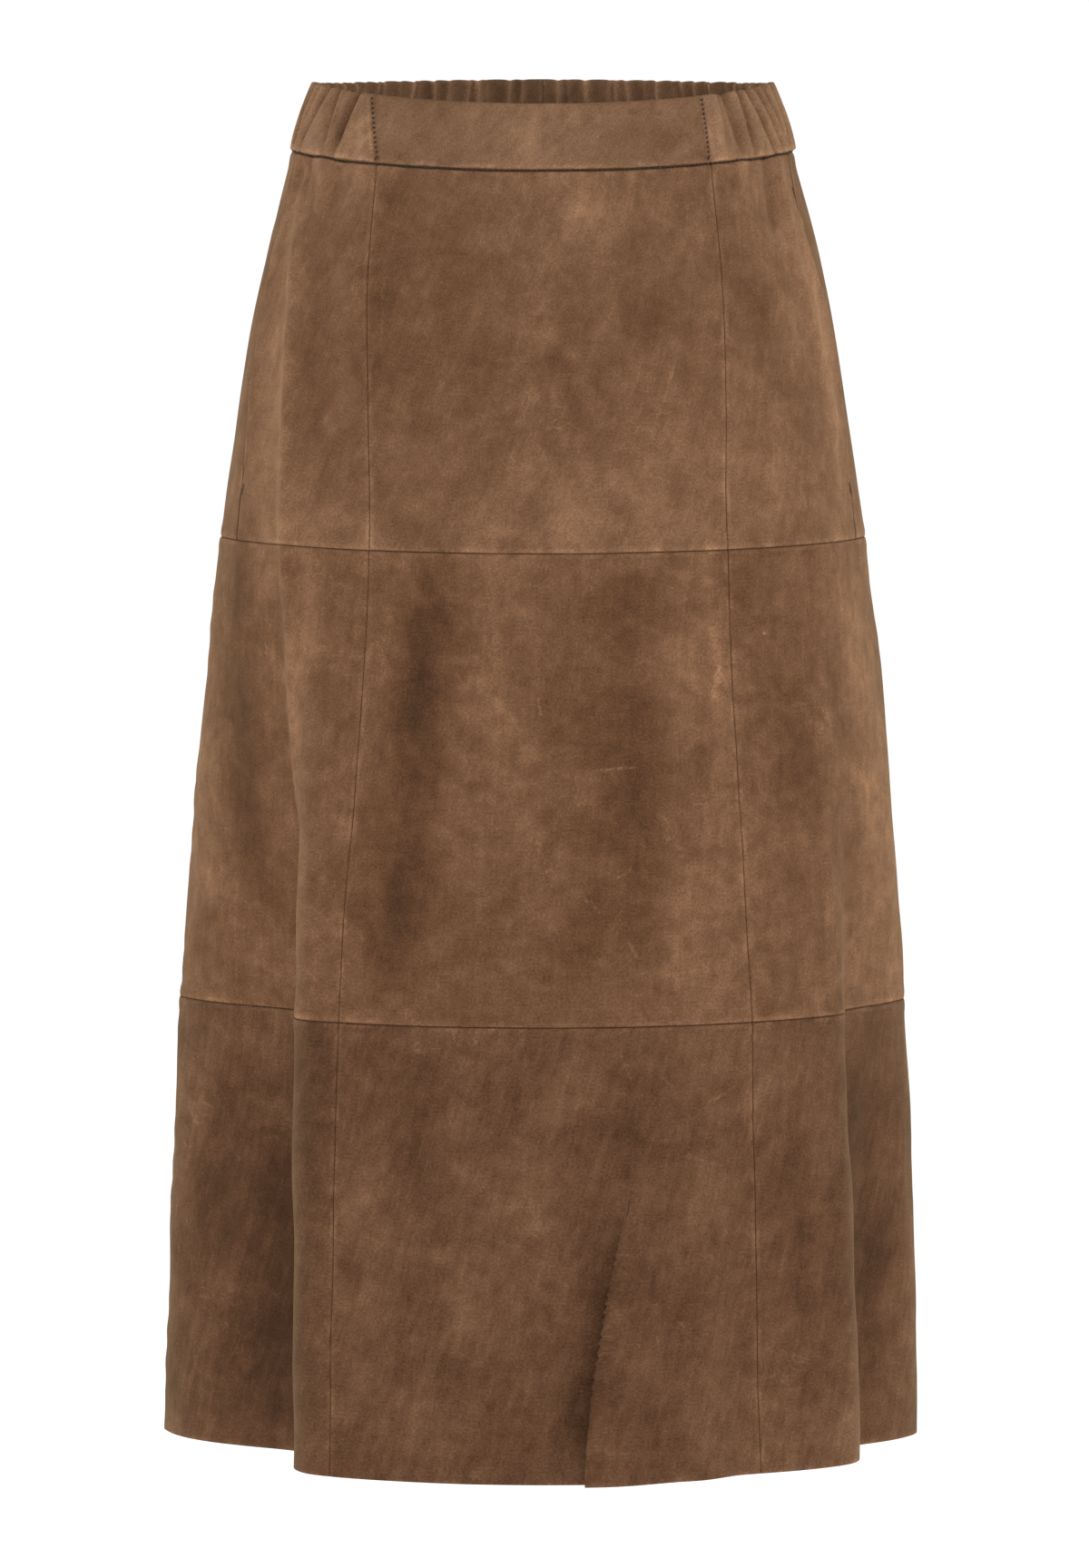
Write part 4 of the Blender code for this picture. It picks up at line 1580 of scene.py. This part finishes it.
@dataclass
class Stitching:
    """All the thread that shows."""

    band_pitch: float = 0.00275
    band_beside: float = 2.0
    band_margin: float = 0.0032
    band_length: float = 0.0016
    band_lift: float = 0.0021
    band_radius: float = 0.00055
    ditch_pitch: float = 0.003
    ditch_length: float = 0.0027
    ditch_below: float = 0.0001
    ditch_lift: float = 0.0003
    ditch_radius: float = 0.0004
    tack_count: int = 7
    tack_pitch: float = 0.0009
    tack_length: float = 0.0026
    tack_lift: float = 0.0004
    tack_radius: float = 0.00024
    tack_beside: float = 0.9
    tack_beyond: float = 0.004  # how far past the mouth's ends they stand

    def band_rows(self) -> list[StitchRow]:
        """The upright row beside each of the band's front seams."""
        rows = []
        for name, seam, side in (("left", BAND_SEAM_LEFT, 1), ("right", BAND_SEAM_RIGHT, -1)):
            first, last = self.band_margin, BAND_BOTTOM - self.band_margin
            count = round((last - first) / self.band_pitch)
            stitches = []
            for index in range(count + 1):
                down = first + (last - first) * index / count
                angle = float(seam(np.array([down]))[0]) + side * self.band_beside / 2.3
                stitches.append(Stitch(angle, down, 90.0, self.band_length, self.band_lift))
            # the last stitch is gone over once more, a little aside
            end = stitches[-1]
            stitches.append(replace(end, angle=end.angle - 0.3, down=end.down + 0.0012))
            rows.append(StitchRow(f"band_seam_stitches_{name}", tuple(stitches), self.band_radius))
        return rows

    def waist_ditch(self) -> StitchRow:
        """The slanting stitches that show in the seam under the band."""
        stitches = []
        angle = -CENTRE_BACK
        while angle < CENTRE_BACK:
            here = np.array([angle])
            step = self.ditch_pitch / float(FORM.per_degree(here, np.array([BAND_BOTTOM]))[0])
            slant = 24.0 + 10.0 * math.sin(angle * 1.9)
            down = BAND_BOTTOM + self.ditch_below
            stitches.append(Stitch(angle, down, slant, self.ditch_length, self.ditch_lift))
            angle += step
        return StitchRow("waist_seam_stitches", tuple(stitches), self.ditch_radius, 6, 4)

    def bar_tacks(self) -> StitchRow:
        """The tacks that hold the ends of the pockets' mouths."""
        stitches = []
        for seam, side in ((POCKET_SEAM_LEFT, 1), (POCKET_SEAM_RIGHT, -1)):
            pocket = Pocket(seam)
            for down in (pocket.top - self.tack_beyond, pocket.bottom + self.tack_beyond):
                angle = float(seam(np.array([down]))[0]) + side * self.tack_beside
                for index in range(self.tack_count):
                    place = down + self.tack_pitch * (index - self.tack_count / 2.0)
                    turn = 8.0 * (-1) ** index
                    stitches.append(Stitch(angle, place, turn, self.tack_length, self.tack_lift))
        return StitchRow("pocket_bar_tacks", tuple(stitches), self.tack_radius, 6, 4)

    def build(self, finishes: Finishes) -> list[Piece]:
        """Make every row."""
        rows = [*self.band_rows(), self.waist_ditch(), self.bar_tacks()]
        return [row.build(finishes) for row in rows]


# ---------------------------------------------------------------- studio


@dataclass
class Studio:
    """A pale floor, soft lights and a level camera in front of the skirt."""

    camera_distance: float = 2.6
    frame_height: float = 0.8899
    camera_height: float = -0.3986
    camera_side: float = 0.001
    floor_gap: float = 0.3
    floor_size: float = 60.0
    world_light: float = 0.13
    world_seen: float = 0.9  # how much brighter the world looks than it lights

    def build(self) -> None:
        """Set the studio up."""
        self.add_camera()
        self.add_floor()
        self.add_world()
        for name, place, size, power, aim in (
            ("key", (0.55, -2.6, 0.6), 1.4, 17.0, (0.0, 0.0, -0.42)),
            ("left", (-2.3, -0.6, 0.25), 1.2, 17.0, (0.0, 0.0, -0.3)),
            ("right", (2.3, -0.7, 0.3), 1.2, 15.0, (0.0, 0.0, -0.33)),
            ("top", (0.0, 0.0, 1.9), 1.4, 5.0, (0.0, 0.0, -0.3)),
            ("back", (-0.7, 2.5, 0.6), 1.6, 17.0, (0.0, 0.0, -0.4)),
        ):
            self.add_light(name, place, size, power, aim)
        bpy.context.scene.view_settings.view_transform = "Standard"

    def add_camera(self) -> None:
        """A level camera whose frame holds the skirt with a little room."""
        camera = bpy.data.cameras.new("front_camera")
        camera.sensor_fit = "VERTICAL"
        camera.sensor_height = 36.0
        camera.lens = camera.sensor_height * self.camera_distance / self.frame_height
        holder = bpy.data.objects.new("front_camera", camera)
        holder.location = (self.camera_side, -self.camera_distance, self.camera_height)
        holder.rotation_euler = (math.pi / 2.0, 0.0, 0.0)
        bpy.context.scene.collection.objects.link(holder)
        bpy.context.scene.camera = holder

    def add_floor(self) -> None:
        """A pale floor below the hem."""
        select_nothing()
        level = float(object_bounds()[0][2]) - self.floor_gap
        bpy.ops.mesh.primitive_plane_add(size=self.floor_size, location=(0.0, 0.0, level))
        floor = bpy.context.object
        floor.name = "floor"
        material = bpy.data.materials.new("pale_floor")
        material.use_nodes = True
        shader = material.node_tree.nodes["Principled BSDF"]
        shader.inputs["Base Color"].default_value = (0.35, 0.35, 0.35, 1.0)
        shader.inputs["Roughness"].default_value = 0.9
        shader.inputs["Emission Color"].default_value = (1.0, 1.0, 1.0, 1.0)
        shader.inputs["Emission Strength"].default_value = 1.0
        floor.data.materials.append(material)
        floor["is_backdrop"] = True

    def add_world(self) -> None:
        """White all round, dimmer as a light than as it looks."""
        world = bpy.data.worlds.new("studio")
        world.use_nodes = True
        bpy.context.scene.world = world
        wiring = Wiring(world.node_tree)
        background = world.node_tree.nodes["Background"]
        background.inputs["Color"].default_value = (1.0, 1.0, 1.0, 1.0)
        path = wiring.node("ShaderNodeLightPath")
        seen = path.outputs["Is Camera Ray"]
        strength = wiring.math("MULTIPLY_ADD", seen, self.world_seen, self.world_light)
        wiring.tree.links.new(strength, background.inputs["Strength"])

    def add_light(
        self, name: str, place: tuple[float, ...], size: float, power: float, aim: tuple[float, ...]
    ) -> None:
        """A square soft light at a place, aimed at a point."""
        light = bpy.data.lights.new(name, "AREA")
        light.size = size
        light.energy = power
        holder = bpy.data.objects.new(name, light)
        holder.location = place
        holder.rotation_euler = (Vector(aim) - Vector(place)).to_track_quat("-Z", "Y").to_euler()
        bpy.context.scene.collection.objects.link(holder)


def main() -> None:
    """Build the skirt's pieces in order, then the studio."""
    logging.basicConfig(level=logging.INFO, format="%(name)s: %(message)s")
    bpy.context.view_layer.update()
    finishes = Finishes()
    Studio().build()
    Waistband().build(finishes)
    Tiers().build(finishes)
    PocketBag("pocket_bag_left", POCKET_SEAM_LEFT, -2.0, 29.0).build(finishes)
    PocketBag("pocket_bag_right", POCKET_SEAM_RIGHT, -29.0, 2.0).build(finishes)
    Stitching().build(finishes)


if __name__ == "__main__":
    main()
